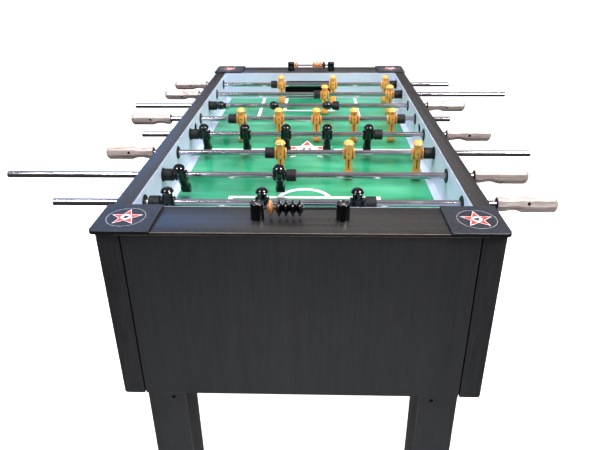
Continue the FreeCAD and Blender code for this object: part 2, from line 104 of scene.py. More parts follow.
# ---- Materials ----
class Finish:
    """A node material being put together: a Principled shader and what feeds it."""

    def __init__(self, name, color, roughness, metallic=0.0, specular=0.5, coat=0.0, coat_roughness=0.1):
        self.material = bpy.data.materials.new(name)
        self.material.use_nodes = True
        self.material.diffuse_color = (*color, 1.0)
        self.nodes = self.material.node_tree.nodes
        self.links = self.material.node_tree.links
        self.shader = self.nodes["Principled BSDF"]
        self.set("Base Color", (*color, 1.0))
        self.set("Roughness", roughness)
        self.set("Metallic", metallic)
        self.set("Specular IOR Level", specular)
        self.set("Coat Weight", coat)
        self.set("Coat Roughness", coat_roughness)

    def set(self, socket, value):
        self.shader.inputs[socket].default_value = value

    def feed(self, socket, output):
        self.links.new(output, self.shader.inputs[socket])

    def coordinates(self, stretch=(1, 1, 1), per_piece=False):
        """Object coordinates in metres, scaled per axis, and shifted from piece to piece if asked."""
        source = self.nodes.new("ShaderNodeTexCoord").outputs["Object"]
        mapping = self.nodes.new("ShaderNodeMapping")
        mapping.inputs["Scale"].default_value = stretch
        self.links.new(source, mapping.inputs["Vector"])
        if per_piece:
            info = self.nodes.new("ShaderNodeObjectInfo")
            spread = self.nodes.new("ShaderNodeVectorMath")
            spread.operation = "SCALE"
            spread.inputs[0].default_value = (7.0, 11.0, 5.0)
            self.links.new(info.outputs["Random"], spread.inputs["Scale"])
            self.links.new(spread.outputs[0], mapping.inputs["Location"])
        return mapping.outputs["Vector"]

    def noise(self, vector, scale, detail=5.0, roughness=0.6, distortion=0.0):
        node = self.nodes.new("ShaderNodeTexNoise")
        node.inputs["Scale"].default_value = scale
        node.inputs["Detail"].default_value = detail
        node.inputs["Roughness"].default_value = roughness
        node.inputs["Distortion"].default_value = distortion
        self.links.new(vector, node.inputs["Vector"])
        return node.outputs["Fac"]

    def cells(self, vector, scale, feature="F1", randomness=1.0):
        node = self.nodes.new("ShaderNodeTexVoronoi")
        node.feature = feature
        node.inputs["Scale"].default_value = scale
        node.inputs["Randomness"].default_value = randomness
        self.links.new(vector, node.inputs["Vector"])
        return node.outputs["Distance"]

    def ramp(self, factor, stops):
        """Colour ramp from (position, colour) pairs."""
        node = self.nodes.new("ShaderNodeValToRGB")
        elements = node.color_ramp.elements
        while len(elements) < len(stops):
            elements.new(0.5)
        for element, (position, color) in zip(elements, stops):
            element.position = position
            element.color = (*color, 1.0)
        self.links.new(factor, node.inputs["Fac"])
        return node.outputs["Color"]

    def span(self, factor, low, high, low_in=0.3, high_in=0.7):
        """Maps a noise value onto a range."""
        node = self.nodes.new("ShaderNodeMapRange")
        node.inputs["From Min"].default_value = low_in
        node.inputs["From Max"].default_value = high_in
        node.inputs["To Min"].default_value = low
        node.inputs["To Max"].default_value = high
        self.links.new(factor, node.inputs["Value"])
        return node.outputs["Result"]

    def paint(self, factor, stops):
        self.feed("Base Color", self.ramp(factor, stops))

    def roughen(self, factor, low, high, low_in=0.3, high_in=0.7):
        self.feed("Roughness", self.span(factor, low, high, low_in, high_in))

    def shaded(self, color, shade):
        """One colour output multiplied by another."""
        node = self.nodes.new("ShaderNodeMix")
        node.data_type = "RGBA"
        node.blend_type = "MULTIPLY"
        node.inputs[0].default_value = 1.0
        self.links.new(color, node.inputs[6])
        self.links.new(shade, node.inputs[7])
        return node.outputs[2]

    def total(self, first, first_share, second, second_share):
        """Weighted sum of two values."""
        total = self.nodes.new("ShaderNodeMath")
        total.operation = "ADD"
        for value, share, socket in zip((first, second), (first_share, second_share), total.inputs):
            part = self.nodes.new("ShaderNodeMath")
            part.operation = "MULTIPLY"
            part.inputs[1].default_value = share
            self.links.new(value, part.inputs[0])
            self.links.new(part.outputs[0], socket)
        return total.outputs[0]

    def bump(self, height, strength, distance):
        node = self.nodes.new("ShaderNodeBump")
        node.inputs["Strength"].default_value = strength
        node.inputs["Distance"].default_value = distance
        self.links.new(height, node.inputs["Height"])
        self.feed("Normal", node.outputs["Normal"])


def across(axis, wide, along):
    """Stretch that leaves a texture slow along one axis and fast across it."""
    return tuple(along if name == axis else wide for name in "XYZ")


def laminate(name, axis, dark, light, roughness, specular, streaked=0.7):
    """Printed wood-grain laminate: long streaks along one axis and fine pores, in the given share."""
    finish = Finish(name, light, roughness, specular=specular)
    streaks = finish.noise(finish.coordinates(across(axis, 1.0, 0.035)), 70.0, 6.0, 0.62, 0.4)
    pores = finish.noise(finish.coordinates(across(axis, 1.0, 0.03)), 520.0, 3.0, 0.7)
    wear = finish.noise(finish.coordinates(), 9.0, 4.0, 0.6)
    grain = finish.total(streaks, streaked, pores, 1.0 - streaked)
    middle = tuple((a + b) / 2 for a, b in zip(dark, light))
    finish.paint(grain, [(0.34, dark), (0.5, middle), (0.68, light)])
    smear = finish.total(wear, 0.6, pores, 0.4)
    finish.roughen(smear, roughness - 0.07, roughness + 0.1)
    finish.bump(grain, 0.35, 0.00025)
    return finish.material


def leather_plastic():
    """Dark moulded cap with a fine leather grain."""
    finish = Finish("leather_plastic", (0.016, 0.018, 0.025), 0.40, specular=0.4)
    place = finish.coordinates()
    pebbles = finish.cells(place, 380.0)
    creases = finish.noise(place, 420.0, 4.0, 0.6)
    cloud = finish.noise(place, 190.0, 5.0, 0.7)
    tones = [(0.38, (0.007, 0.009, 0.015)), (0.62, (0.026, 0.029, 0.038))]
    finish.paint(cloud, tones)
    finish.roughen(creases, 0.36, 0.52)
    finish.bump(finish.total(pebbles, 1.0, creases, 0.5), 0.6, 0.0006)
    return finish.material


def moulded_plastic(name, color, roughness, specular=0.5):
    """Plain moulded plastic: faint cloudiness and a very fine texture."""
    finish = Finish(name, color, roughness, specular=specular)
    place = finish.coordinates(per_piece=True)
    cloud = finish.noise(place, 60.0, 3.0, 0.5)
    fine = finish.noise(place, 1500.0, 3.0, 0.6)
    light = tuple(value * 1.25 for value in color)
    finish.paint(cloud, [(0.3, color), (0.75, light)])
    finish.roughen(cloud, roughness - 0.05, roughness + 0.07)
    finish.bump(fine, 0.25, 0.00012)
    return finish.material


def gloss_plastic(name, color, shade, roughness, coat, specular=0.5):
    """Glossy injection-moulded plastic with slight flow marks, and a soft surface ripple."""
    finish = Finish(name, color, roughness, specular=specular, coat=coat, coat_roughness=0.06)
    place = finish.coordinates(per_piece=True)
    flow = finish.noise(finish.coordinates((1.0, 1.0, 0.4), per_piece=True), 55.0, 5.0, 0.55, 0.8)
    ripple = finish.noise(place, 160.0, 2.0, 0.4)
    scuff = finish.noise(place, 420.0, 5.0, 0.75)
    finish.paint(flow, [(0.3, shade), (0.62, color)])
    finish.roughen(scuff, roughness - 0.03, roughness + 0.12, 0.45, 0.8)
    finish.bump(ripple, 0.10, 0.0006)
    return finish.material


def polished_steel(name, dim=1.0):
    """Plated tube: fine turning lines round it and faint smudges."""
    dark = (0.43 * dim, 0.40 * dim, 0.44 * dim)
    light = (0.54 * dim, 0.51 * dim, 0.55 * dim)
    finish = Finish(name, light, 0.14, metallic=1.0)
    turning = finish.noise(finish.coordinates((1.0, 0.02, 0.02)), 1900.0, 3.0, 0.7)
    smudge = finish.noise(finish.coordinates((0.35, 1.0, 1.0)), 48.0, 6.0, 0.65)
    finish.paint(smudge, [(0.3, dark), (0.65, light)])
    finish.roughen(smudge, 0.11, 0.20)
    finish.bump(turning, 0.04, 0.0001)
    return finish.material


def zinc_steel():
    """Plated fastener."""
    finish = Finish("zinc_steel", (0.42, 0.42, 0.41), 0.34, metallic=1.0)
    spangle = finish.cells(finish.coordinates(), 420.0)
    finish.paint(spangle, [(0.0, (0.34, 0.34, 0.33)), (0.9, (0.50, 0.50, 0.48))])
    finish.roughen(spangle, 0.28, 0.45, 0.0, 1.0)
    finish.bump(spangle, 0.1, 0.0001)
    return finish.material


def ribbed_rubber():
    """Dull black rubber with a dusty bloom."""
    finish = Finish("ribbed_rubber", (0.008, 0.008, 0.010), 0.55, specular=0.3)
    place = finish.coordinates(per_piece=True)
    bloom = finish.noise(place, 85.0, 5.0, 0.65)
    pits = finish.noise(place, 1300.0, 4.0, 0.7)
    tones = [(0.35, (0.005, 0.005, 0.006)), (0.7, (0.013, 0.013, 0.015))]
    finish.paint(bloom, tones)
    finish.roughen(bloom, 0.52, 0.74)
    finish.bump(pits, 0.35, 0.0002)
    return finish.material


def handle_wood():
    """Bleached, clear-coated wood with grain along the handle."""
    finish = Finish("handle_wood", (0.62, 0.53, 0.44), 0.38, coat=0.25, coat_roughness=0.2)
    grain = finish.noise(finish.coordinates((0.09, 1.0, 1.0), per_piece=True), 150.0, 6.0, 0.62, 1.2)
    pores = finish.noise(finish.coordinates((0.03, 1.0, 1.0), per_piece=True), 900.0, 3.0, 0.7)
    tone = finish.noise(finish.coordinates((0.3, 1.0, 1.0), per_piece=True), 22.0, 3.0, 0.5)
    streaks = finish.ramp(grain, [(0.30, (0.32, 0.24, 0.21)), (0.46, (0.54, 0.45, 0.42)),
                                  (0.66, (0.72, 0.64, 0.61))])
    toned = finish.ramp(tone, [(0.3, (0.84, 0.80, 0.78)), (0.7, (1.0, 1.0, 1.0))])
    finish.feed("Base Color", finish.shaded(streaks, toned))
    finish.roughen(pores, 0.30, 0.48)
    finish.bump(finish.total(grain, 1.0, pores, 1.0), 0.22, 0.00025)
    return finish.material


def pale_laminate(name, color, roughness, top_shade=1.0):
    """Pale smooth facing with faint scuffs from the ball, and painted shade darkening its level top faces if
    asked.
    """
    finish = Finish(name, color, roughness, specular=0.45)
    place = finish.coordinates()
    cloud = finish.noise(place, 7.0, 4.0, 0.55)
    scuffs = finish.noise(finish.coordinates((1.0, 0.12, 1.0)), 130.0, 6.0, 0.8)
    shade = tuple(value * 0.88 for value in color)
    marked = tuple(value * 0.72 for value in color)
    clean = finish.ramp(cloud, [(0.3, shade), (0.7, color)])
    worn = finish.ramp(scuffs, [(0.66, (1.0, 1.0, 1.0)), (0.8, (marked[0] / color[0],) * 3)])
    # Painted shade: faces whose normal points straight up are darkened by top_shade.
    facing = finish.nodes.new("ShaderNodeSeparateXYZ")
    finish.links.new(finish.nodes.new("ShaderNodeNewGeometry").outputs["Normal"], facing.inputs[0])
    painted_top_shade = finish.ramp(facing.outputs["Z"], [(0.9, (1.0, 1.0, 1.0)), (0.97, (top_shade,) * 3)])
    finish.feed("Base Color", finish.shaded(finish.shaded(clean, worn), painted_top_shade))
    finish.roughen(scuffs, roughness - 0.05, roughness + 0.12)
    finish.bump(scuffs, 0.05, 0.0002)
    return finish.material


def field_green():
    """Printed playing surface: green with broad soft tones in bands across the table."""
    finish = Finish("field_green", (0.035, 0.36, 0.16), 0.30, specular=0.5)
    bands = finish.noise(finish.coordinates((0.22, 1.0, 1.0)), 13.0, 3.0, 0.5, 0.3)
    blotch = finish.noise(finish.coordinates(), 6.0, 2.0, 0.5)
    speckle = finish.noise(finish.coordinates(), 700.0, 3.0, 0.7)
    tones = finish.total(bands, 0.55, blotch, 0.45)
    green = finish.ramp(tones, [(0.36, (0.008, 0.160, 0.070)), (0.5, (0.024, 0.262, 0.130)),
                                (0.66, (0.065, 0.370, 0.210))])
    fleck = finish.ramp(speckle, [(0.3, (0.90, 0.93, 0.92)), (0.7, (1.0, 1.0, 1.0))])
    finish.feed("Base Color", finish.shaded(green, fleck))
    finish.roughen(blotch, 0.16, 0.26)
    finish.bump(speckle, 0.06, 0.0001)
    return finish.material


def printed(name, color):
    """Screen-printed ink, slightly uneven."""
    finish = Finish(name, color, 0.36)
    place = finish.coordinates()
    mottle = finish.noise(place, 240.0, 4.0, 0.7)
    rub = finish.noise(place, 30.0, 5.0, 0.7)
    dull = tuple(value * 0.86 for value in color)
    finish.paint(rub, [(0.3, dull), (0.55, color)])
    finish.roughen(mottle, 0.30, 0.45)
    finish.bump(mottle, 0.08, 0.0001)
    return finish.material


def raw_board():
    """Unfinished fibreboard."""
    finish = Finish("raw_board", (0.27, 0.19, 0.12), 0.8, specular=0.3)
    place = finish.coordinates()
    fibres = finish.noise(place, 330.0, 6.0, 0.75)
    tone = finish.noise(place, 12.0, 3.0, 0.5)
    color = finish.ramp(fibres, [(0.3, (0.19, 0.13, 0.08)), (0.7, (0.34, 0.25, 0.16))])
    shade = finish.ramp(tone, [(0.3, (0.85, 0.85, 0.85)), (0.7, (1.0, 1.0, 1.0))])
    finish.feed("Base Color", finish.shaded(color, shade))
    finish.roughen(fibres, 0.7, 0.95)
    finish.bump(fibres, 0.3, 0.0003)
    return finish.material


def bead_plastic():
    """Orange bead: turned look with streaks round the rim."""
    finish = Finish("bead_orange", (0.66, 0.27, 0.09), 0.28, coat=0.4, coat_roughness=0.1)
    streaks = finish.noise(finish.coordinates((3.0, 0.6, 0.6), per_piece=True), 260.0, 5.0, 0.65, 0.8)
    tones = [(0.3, (0.45, 0.15, 0.045)), (0.5, (0.66, 0.28, 0.10)), (0.72, (0.80, 0.42, 0.18))]
    finish.paint(streaks, tones)
    finish.roughen(streaks, 0.24, 0.40)
    finish.bump(streaks, 0.15, 0.0002)
    return finish.material


PANEL_BLACK = laminate("panel_laminate", "Z", (0.023, 0.024, 0.027), (0.038, 0.040, 0.044), 0.46, 0.32, 0.3)
EDGE_BAND = laminate("edge_band", "Z", (0.014, 0.015, 0.017), (0.032, 0.033, 0.036), 0.5, 0.3, 0.15)
RAIL_ALONG_Y = laminate("side_rail_laminate", "Y", (0.012, 0.011, 0.011), (0.027, 0.025, 0.024), 0.28, 0.5)
RAIL_ALONG_X = laminate("end_rail_laminate", "X", (0.012, 0.011, 0.011), (0.027, 0.025, 0.024), 0.28, 0.5)
# Pale tan laminate for end rail bevels: partly wear, partly a painted highlight on the rounded edge.
TAN_EDGE_WEAR_AND_HIGHLIGHT = laminate("tan_edge_wear_and_highlight", "X", (0.20, 0.15, 0.11), (0.38, 0.31, 0.25), 0.5, 0.4)
# Lighter laminate for bevelled edges: a painted sheen.
EDGE_SHEEN = laminate("painted_edge_sheen", "Z", (0.030, 0.030, 0.034), (0.075, 0.075, 0.082), 0.42, 0.5)
CAP_PLASTIC = leather_plastic()
# Darker copy of the cap plastic for the caps' sides: painted shade.
CAP_SIDE_SHADE = moulded_plastic("cap_side_shade", (0.006, 0.006, 0.008), 0.45, 0.25)
DARK_PLASTIC = moulded_plastic("dark_plastic", (0.004, 0.004, 0.005), 0.42, 0.15)
# Black put in holes, slots, seams and gaps where shade falls: painted shade.
RECESS_SHADE_BLACK = moulded_plastic("painted_recess_shade", (0.004, 0.004, 0.004), 0.7, 0.2)
BLACK_GLOSS = gloss_plastic("black_gloss", (0.003, 0.003, 0.005), (0.002, 0.002, 0.003), 0.12, 0.6, 0.2)
POST_GLOSS = gloss_plastic("post_gloss", (0.003, 0.003, 0.005), (0.002, 0.002, 0.003), 0.12, 0.6, 0.2)
AMBER = gloss_plastic("amber_plastic", (0.95, 0.43, 0.080), (0.90, 0.34, 0.055), 0.24, 0.3)
# Deep amber for the yellow men's leg slots and the grooves round the arms: painted shade.
AMBER_RECESS_SHADE = gloss_plastic("amber_painted_recess_shade", (0.10, 0.030, 0.006), (0.06, 0.016, 0.003), 0.45, 0.0)
STEEL = polished_steel("polished_steel")
DARK_STEEL = polished_steel("dark_steel", 0.3)
ZINC = zinc_steel()
RUBBER = ribbed_rubber()
HANDLE_WOOD = handle_wood()
# The liners' level top faces are darkened to half: painted shade.
LINER_WHITE = pale_laminate("liner_white", (0.62, 0.69, 0.87), 0.34, 0.5)
STRIP_WHITE = pale_laminate("strip_white", (0.43, 0.50, 0.66), 0.36)
FIELD_GREEN = field_green()
INK_WHITE = printed("ink_white", (0.86, 0.90, 0.88))
INK_RED = printed("ink_red", (0.62, 0.035, 0.035))
INK_BLACK = printed("ink_black", (0.012, 0.012, 0.014))
INK_SILVER = printed("ink_silver", (0.42, 0.42, 0.45))
BOARD = raw_board()
BEAD_ORANGE = bead_plastic()


# ---- Mesh making (millimetres in, metres out) ----
def new_piece(name, mesh, materials):
    piece = bpy.data.objects.new(name, mesh)
    bpy.context.scene.collection.objects.link(piece)
    if not mesh.materials:
        for material in materials:
            mesh.materials.append(material)
    return piece


def finish_bmesh(name, bm, sharp_angle=32.0):
    """Turns a bmesh in millimetres into a smooth-shaded mesh in metres with crisp corners."""
    bmesh.ops.recalc_face_normals(bm, faces=bm.faces)
    bmesh.ops.scale(bm, vec=(MM, MM, MM), verts=bm.verts)
    mesh = bpy.data.meshes.new(name)
    bm.to_mesh(mesh)
    bm.free()
    mesh.shade_smooth()
    mesh.set_sharp_from_angle(angle=radians(sharp_angle))
    return mesh


def skin_rings(bm, rings, closed=False, material=0):
    """Faces between successive rings of points; ends are filled unless the rings close on themselves."""
    loops = [[bm.verts.new(point) for point in ring] for ring in rings]
    count = len(loops[0])
    pairs = list(zip(loops, loops[1:]))
    if closed:
        pairs.append((loops[-1], loops[0]))
    for first, second in pairs:
        for k in range(count):
            after = (k + 1) % count
            face = bm.faces.new((first[k], first[after], second[after], second[k]))
            face.material_index = material
    if not closed:
        bm.faces.new(list(reversed(loops[0]))).material_index = material
        bm.faces.new(loops[-1]).material_index = material


def turned_rings(profile, segments, axis, centre):
    """Rings of a turned shape: profile is (distance along the axis, radius) pairs."""
    rings = []
    for along, radius in profile:
        ring = []
        for k in range(segments):
            u = radius * cos(2 * pi * k / segments)
            v = radius * sin(2 * pi * k / segments)
            offset = {"X": (along, u, v), "Y": (u, along, v), "Z": (u, v, along)}[axis]
            ring.append(Vector(centre) + Vector(offset))
        rings.append(ring)
    return rings


def add_turned(bm, profile, segments=48, axis="X", centre=(0, 0, 0), closed=False, material=0):
    skin_rings(bm, turned_rings(profile, segments, axis, centre), closed, material)


def turned_mesh(name, profile, segments=48, axis="X", centre=(0, 0, 0), closed=False):
    bm = bmesh.new()
    add_turned(bm, profile, segments, axis, centre, closed)
    return finish_bmesh(name, bm)


def smooth_table(rows, steps):
    """Rows of numbers made denser by Catmull-Rom interpolation."""
    dense = []
    last = len(rows) - 1
    for k in range(last):
        before, start = rows[max(k - 1, 0)], rows[k]
        end, after = rows[k + 1], rows[min(k + 2, last)]
        for step in range(steps):
            t = step / steps
            dense.append([0.5 * (2 * b + (c - a) * t + (2 * a - 5 * b + 4 * c - d) * t * t
                                 + (3 * b - a - 3 * c + d) * t ** 3)
                          for a, b, c, d in zip(before, start, end, after)])
    dense.append(list(rows[last]))
    return dense


def superellipse(half_x, half_y, power, height, points=48, shift=0.0):
    """Rounded rectangle ring in a level plane; a higher power is squarer."""
    ring = []
    for k in range(points):
        a = 2 * pi * (k + 0.5) / points
        c, s = cos(a), sin(a)
        x = half_x * abs(c) ** (2 / power) * (1 if c > 0 else -1)
        y = half_y * abs(s) ** (2 / power) * (1 if s > 0 else -1)
        ring.append(Vector((x + shift, y, height)))
    return ring


def add_stack(bm, rows, power, steps=4, shift=0.0, points=48, material=0):
    """Upright shape from (height, half width, half depth) rows."""
    rings = [superellipse(half_x, half_y, power, height, points, shift)
             for height, half_x, half_y in smooth_table(rows, steps)]
    skin_rings(bm, rings, material=material)


def subtract(piece, cutter_meshes):
    """Cuts meshes out of a piece for good."""
    for mesh in cutter_meshes:
        cutter = bpy.data.objects.new("cutter", mesh)
        bpy.context.scene.collection.objects.link(cutter)
        modifier = piece.modifiers.new("cut", "BOOLEAN")
        modifier.operation = "DIFFERENCE"
        modifier.solver = "EXACT"
        modifier.object = cutter
        apply_modifiers(piece)
        bpy.data.objects.remove(cutter)


def apply_modifiers(piece):
    """Replaces a piece's mesh by what its modifiers make of it."""
    bpy.context.view_layer.update()
    graph = bpy.context.evaluated_depsgraph_get()
    made = bpy.data.meshes.new_from_object(piece.evaluated_get(graph))
    piece.modifiers.clear()
    piece.data = made


def bevel(piece, width, segments=3, material=-1):
    """Rounds a piece's sharp edges and keeps its flats flat."""
    modifier = piece.modifiers.new("bevel", "BEVEL")
    modifier.width = width * MM
    modifier.segments = segments
    modifier.limit_method = "ANGLE"
    modifier.angle_limit = radians(40)
    modifier.harden_normals = False
    modifier.material = material
    apply_modifiers(piece)
    piece.data.shade_smooth()
    piece.data.set_sharp_from_angle(angle=radians(31))


def block_mesh(name, low, high):
    bm = bmesh.new()
    corners = [bm.verts.new((x, y, z)) for x in (low[0], high[0]) for y in (low[1], high[1])
               for z in (low[2], high[2])]
    for face in ((0, 1, 3, 2), (4, 6, 7, 5), (0, 4, 5, 1), (2, 3, 7, 6), (0, 2, 6, 4), (1, 5, 7, 3)):
        bm.faces.new([corners[k] for k in face])
    return finish_bmesh(name, bm)


def settle(piece, body, slot, *nodes):
    """Attaches a finished piece to its body and hides the CAD nodes it stands for. The slot argument is not
    used.
    """
    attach(piece, body)
    if nodes:
        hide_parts(*nodes)
    return piece


def build(name, bm, materials, body, slot, *nodes, sharp_angle=32.0):
    """Turns a bmesh in millimetres into a finished piece of a body."""
    piece = new_piece(name, finish_bmesh(name, bm, sharp_angle), materials)
    return settle(piece, body, slot, *nodes)


def dress(node, material):
    """Gives a kept CAD node its finish."""
    mesh = NODES[node].data
    mesh.materials.clear()
    mesh.materials.append(material)


def millimetres(node):
    """Lowest and highest corner of a CAD node."""
    low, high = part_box(node)
    return [value / MM for value in low], [value / MM for value in high]


# ---- Cabinet ----
def make_end_board(name, node):
    """A bevelled board that takes the place of a boxy CAD board, with an open seam at each side, a painted
    sheen on its bevels and painted shade on its faces in the seams.
    """
    low, high = millimetres(node)
    low[0] += SEAM
    high[0] -= SEAM
    piece = new_piece(name, block_mesh(name, low, high), [PANEL_BLACK, EDGE_SHEEN, RECESS_SHADE_BLACK])
    # The bevels take the lighter laminate: a painted sheen along the board's edges.
    bevel(piece, 0.8, 3, 1)
    # End faces inside the seams take the black: painted shade of the gap.
    for polygon in piece.data.polygons:
        if abs(polygon.normal.x) > 0.8:
            polygon.material_index = 2
    settle(piece, "cabinet", "black_woodgrain", node)


def make_side_panel(side):
    """Side board with its rounded bottom edge, bearing holes, serving hole and ball outlet."""
    name = "side_panel_right" if side > 0 else "side_panel_left"
    low, high = millimetres(name)
    piece = new_piece(name + "_board", block_mesh(name, low, high), [PANEL_BLACK, EDGE_BAND, RECESS_SHADE_BLACK])
    inner = side * LINER_HALF_X
    start, stop = 250 * side, 450 * side
    cutters = [block_mesh("rabbet", (min(0, inner), -616, 797), (max(0, inner), 616, 930))]
    bore = SLEEVE_RADIUS + 0.02
    for index in range(len(RODS)):
        cutters.append(turned_mesh("bore", [(start, bore), (stop, bore)], 40, "X",
                                   (0, rod_y(index), ROD_HEIGHT)))
    cutters.append(turned_mesh("serve", [(start, 21), (stop, 21)], 48, "X", (0, 0, SERVE_HOLE_HEIGHT)))
    outlet = sorted((-side * 618.1, -side * 677.9))
    outlet_low = (min(start, stop), outlet[0], 736)
    cutters.append(block_mesh("outlet", outlet_low, (max(start, stop), outlet[1], 800)))
    round_bottom_edge(piece, side)
    subtract(piece, cutters)
    bevel(piece, 0.9, 2)
    # Front and back faces take the edge band; inner faces, seen through the seams, take black as painted
    # shade.
    for polygon in piece.data.polygons:
        if abs(polygon.normal.y) > 0.6:
            polygon.material_index = 1
        elif polygon.normal.x * side < -0.8:
            polygon.material_index = 2
    settle(piece, "cabinet", "black_woodgrain", name)


def round_bottom_edge(piece, side):
    """Rounds the outer bottom edge of a side board."""
    bm = bmesh.new()
    bm.from_mesh(piece.data)
    outer = side * PANEL_HALF_X * MM
    edges = [edge for edge in bm.edges
             if all(abs(v.co.x - outer) < 1e-4 and v.co.z < (CABINET_BOTTOM + 1) * MM for v in edge.verts)]
    bmesh.ops.bevel(bm, geom=edges, offset=6 * MM, segments=6, profile=0.5, affect="EDGES")
    bm.to_mesh(piece.data)
    bm.free()


def make_side_rails():
    """Side rails with softened top edges and rounded outer corners."""
    bm = bmesh.new()
    for side in (-1, 1):
        outline = [(side * x, y) for x, y in rail_outline()]
        skin_rings(bm, [[Vector((x, y, z)) for x, y in outline] for z in (RAIL_BOTTOM, RAIL_TOP)])
    piece = new_piece("side_rail_boards", finish_bmesh("side_rails", bm), [RAIL_ALONG_Y])
    bevel(piece, 0.8, 3)
    settle(piece, "cabinet", "rail_laminate", "top_rails_side")


def rail_outline():
    """Plan of the right side rail with its two outer corners rounded."""
    radius = 9.0
    centre_x = RAIL_HALF_X - radius
    points = [(LINER_HALF_X, -RAIL_HALF_Y)]
    for centre_y, start in ((radius - RAIL_HALF_Y, -90), (RAIL_HALF_Y - radius, 0)):
        for step in range(7):
            angle = radians(start + 15 * step)
            points.append((centre_x + radius * cos(angle), centre_y + radius * sin(angle)))
    points.append((LINER_HALF_X, RAIL_HALF_Y))
    return points


def make_end_rail(end):
    """End rail: black laminate with its outer top edge in pale tan, partly worn to the board beneath and
    partly a painted highlight on the rounded edge.
    """
    node = "top_rail_far" if end > 0 else "top_rail_near"
    low, high = millimetres(node)
    piece = new_piece(node + "_board", block_mesh(node, low, high), [RAIL_ALONG_X, TAN_EDGE_WEAR_AND_HIGHLIGHT])
    # The bevels take the pale tan laminate: partly wear, partly a painted highlight.
    bevel(piece, 0.7, 2, 1)
    settle(piece, "cabinet", "rail_laminate", node)


def rounded_box_outline(x0, x1, y0, y1, radii):
    """Rectangle outline with its own radius at each corner, counter-clockwise from (x0, y0)."""
    points = []
    corners = ((x0, y0, 1, 1, 180), (x1, y0, -1, 1, 270), (x1, y1, -1, -1, 0), (x0, y1, 1, -1, 90))
    for (x, y, dx, dy, start), radius in zip(corners, radii):
        for step in range(9):
            angle = radians(start + 90 * step / 8)
            points.append((x + dx * radius + radius * cos(angle), y + dy * radius + radius * sin(angle)))
    return points


def make_corner_caps():
    """Four moulded caps over the rail corners, set a little to the left, with painted shade darkening their
    sides.
    """
    bm = bmesh.new()
    middle = Vector((330.5, 663.0))
    heights = [(911.5, 0.0), (917.0, 0.0), (918.0, 0.3), (918.6, 0.8), (918.9, 1.6), (919.0, 2.6)]
    skirt = rounded_box_outline(CAP_INNER_X, RAIL_HALF_X + 0.1, CAP_INNER_Y, RAIL_HALF_Y + 0.1, (2, 2, 9, 2))
    for sx in (-1, 1):
        outer_x = CAP_OUTER_X - sx * CAP_SHIFT
        outline = rounded_box_outline(CAP_INNER_X, outer_x, CAP_INNER_Y, CAP_OUTER_Y, (2, 2, 11, 2))
        for sy in (-1, 1):
            rings = [[Vector((sx * x, sy * y, height)) for x, y in skirt] for height in (914.02, 911.5)]
            for height, inset in heights:
                scale = 1 - inset / 55.0
                rings.append([Vector((sx * (middle.x + (x - middle.x) * scale),
                                      sy * (middle.y + (y - middle.y) * scale), height))
                              for x, y in outline])
            skin_rings(bm, rings)
    piece = new_piece("corner_cap_mouldings", finish_bmesh("corner_caps", bm, 50), [CAP_PLASTIC, CAP_SIDE_SHADE])
    # Steep side faces take the darker plastic: painted shade.
    for polygon in piece.data.polygons:
        if polygon.normal.z < 0.6:
            polygon.material_index = 1
    settle(piece, "cabinet", "black_plastic", "corner_caps")


def star_outline(x, y, outer, turn, inner_share=0.42):
    """Five-pointed star, one point along the turn angle (degrees)."""
    points = []
    for k in range(10):
        radius = outer if k % 2 == 0 else outer * inner_share
        angle = radians(turn + 36 * k)
        points.append((x + radius * cos(angle), y + radius * sin(angle)))
    return points


def circle_outline(x, y, radius, count=64):
    angles = [2 * pi * k / count for k in range(count)]
    return [(x + radius * cos(angle), y + radius * sin(angle)) for angle in angles]


def add_plate(bm, outline, bottom, top, material=0):
    skin_rings(bm, [[Vector((x, y, height)) for x, y in outline] for height in (bottom, top)],
               material=material)


def add_ring(bm, x, y, inner, outer, bottom, top, material=0, start=0.0, end=360.0, count=72):
    """Flat ring or arc band."""
    whole = abs(end - start - 360.0) < 0.1
    steps = count if whole else count + 1
    rings = []
    for k in range(steps):
        angle = radians(start + (end - start) * k / count)
        c, s = cos(angle), sin(angle)
        rings.append([Vector((x + r * c, y + r * s, z))
                      for r, z in ((inner, bottom), (outer, bottom), (outer, top), (inner, top))])
    skin_rings(bm, rings, closed=whole, material=material)


def make_badges():
    """Round printed discs on the caps: a ring and a plain star."""
    corners = (("near_left", -1, -1), ("near_right", 1, -1), ("far_left", -1, 1), ("far_right", 1, 1))
    for name, sx, sy in corners:
        x, y = sx * BADGE_X, sy * BADGE_Y
        turn = 90 if sy < 0 else 270
        bm = bmesh.new()
        profile = [(CAP_TOP - 0.3, 38.2), (CAP_TOP + 0.12, 38.2), (CAP_TOP + 0.2, 37.9)]
        add_turned(bm, profile, 72, "Z", (x, y, 0))
        add_ring(bm, x, y, 36.4, 37.2, CAP_TOP + 0.1, CAP_TOP + 0.26, 1)
        add_plate(bm, star_outline(x, y, 32.0, turn), CAP_TOP + 0.1, CAP_TOP + 0.28, 2)
        add_plate(bm, star_outline(x, y, 29.0, turn), CAP_TOP + 0.1, CAP_TOP + 0.34, 3)
        add_plate(bm, circle_outline(x, y, 10.2), CAP_TOP + 0.1, CAP_TOP + 0.40, 2)
        add_plate(bm, star_outline(x, y, 8.6, turn + 36, 0.5), CAP_TOP + 0.1, CAP_TOP + 0.46, 4)
        build("cap_badge_" + name, bm, [CAP_PLASTIC, INK_SILVER, INK_WHITE, INK_RED, INK_BLACK],
              "cabinet", "black_plastic")


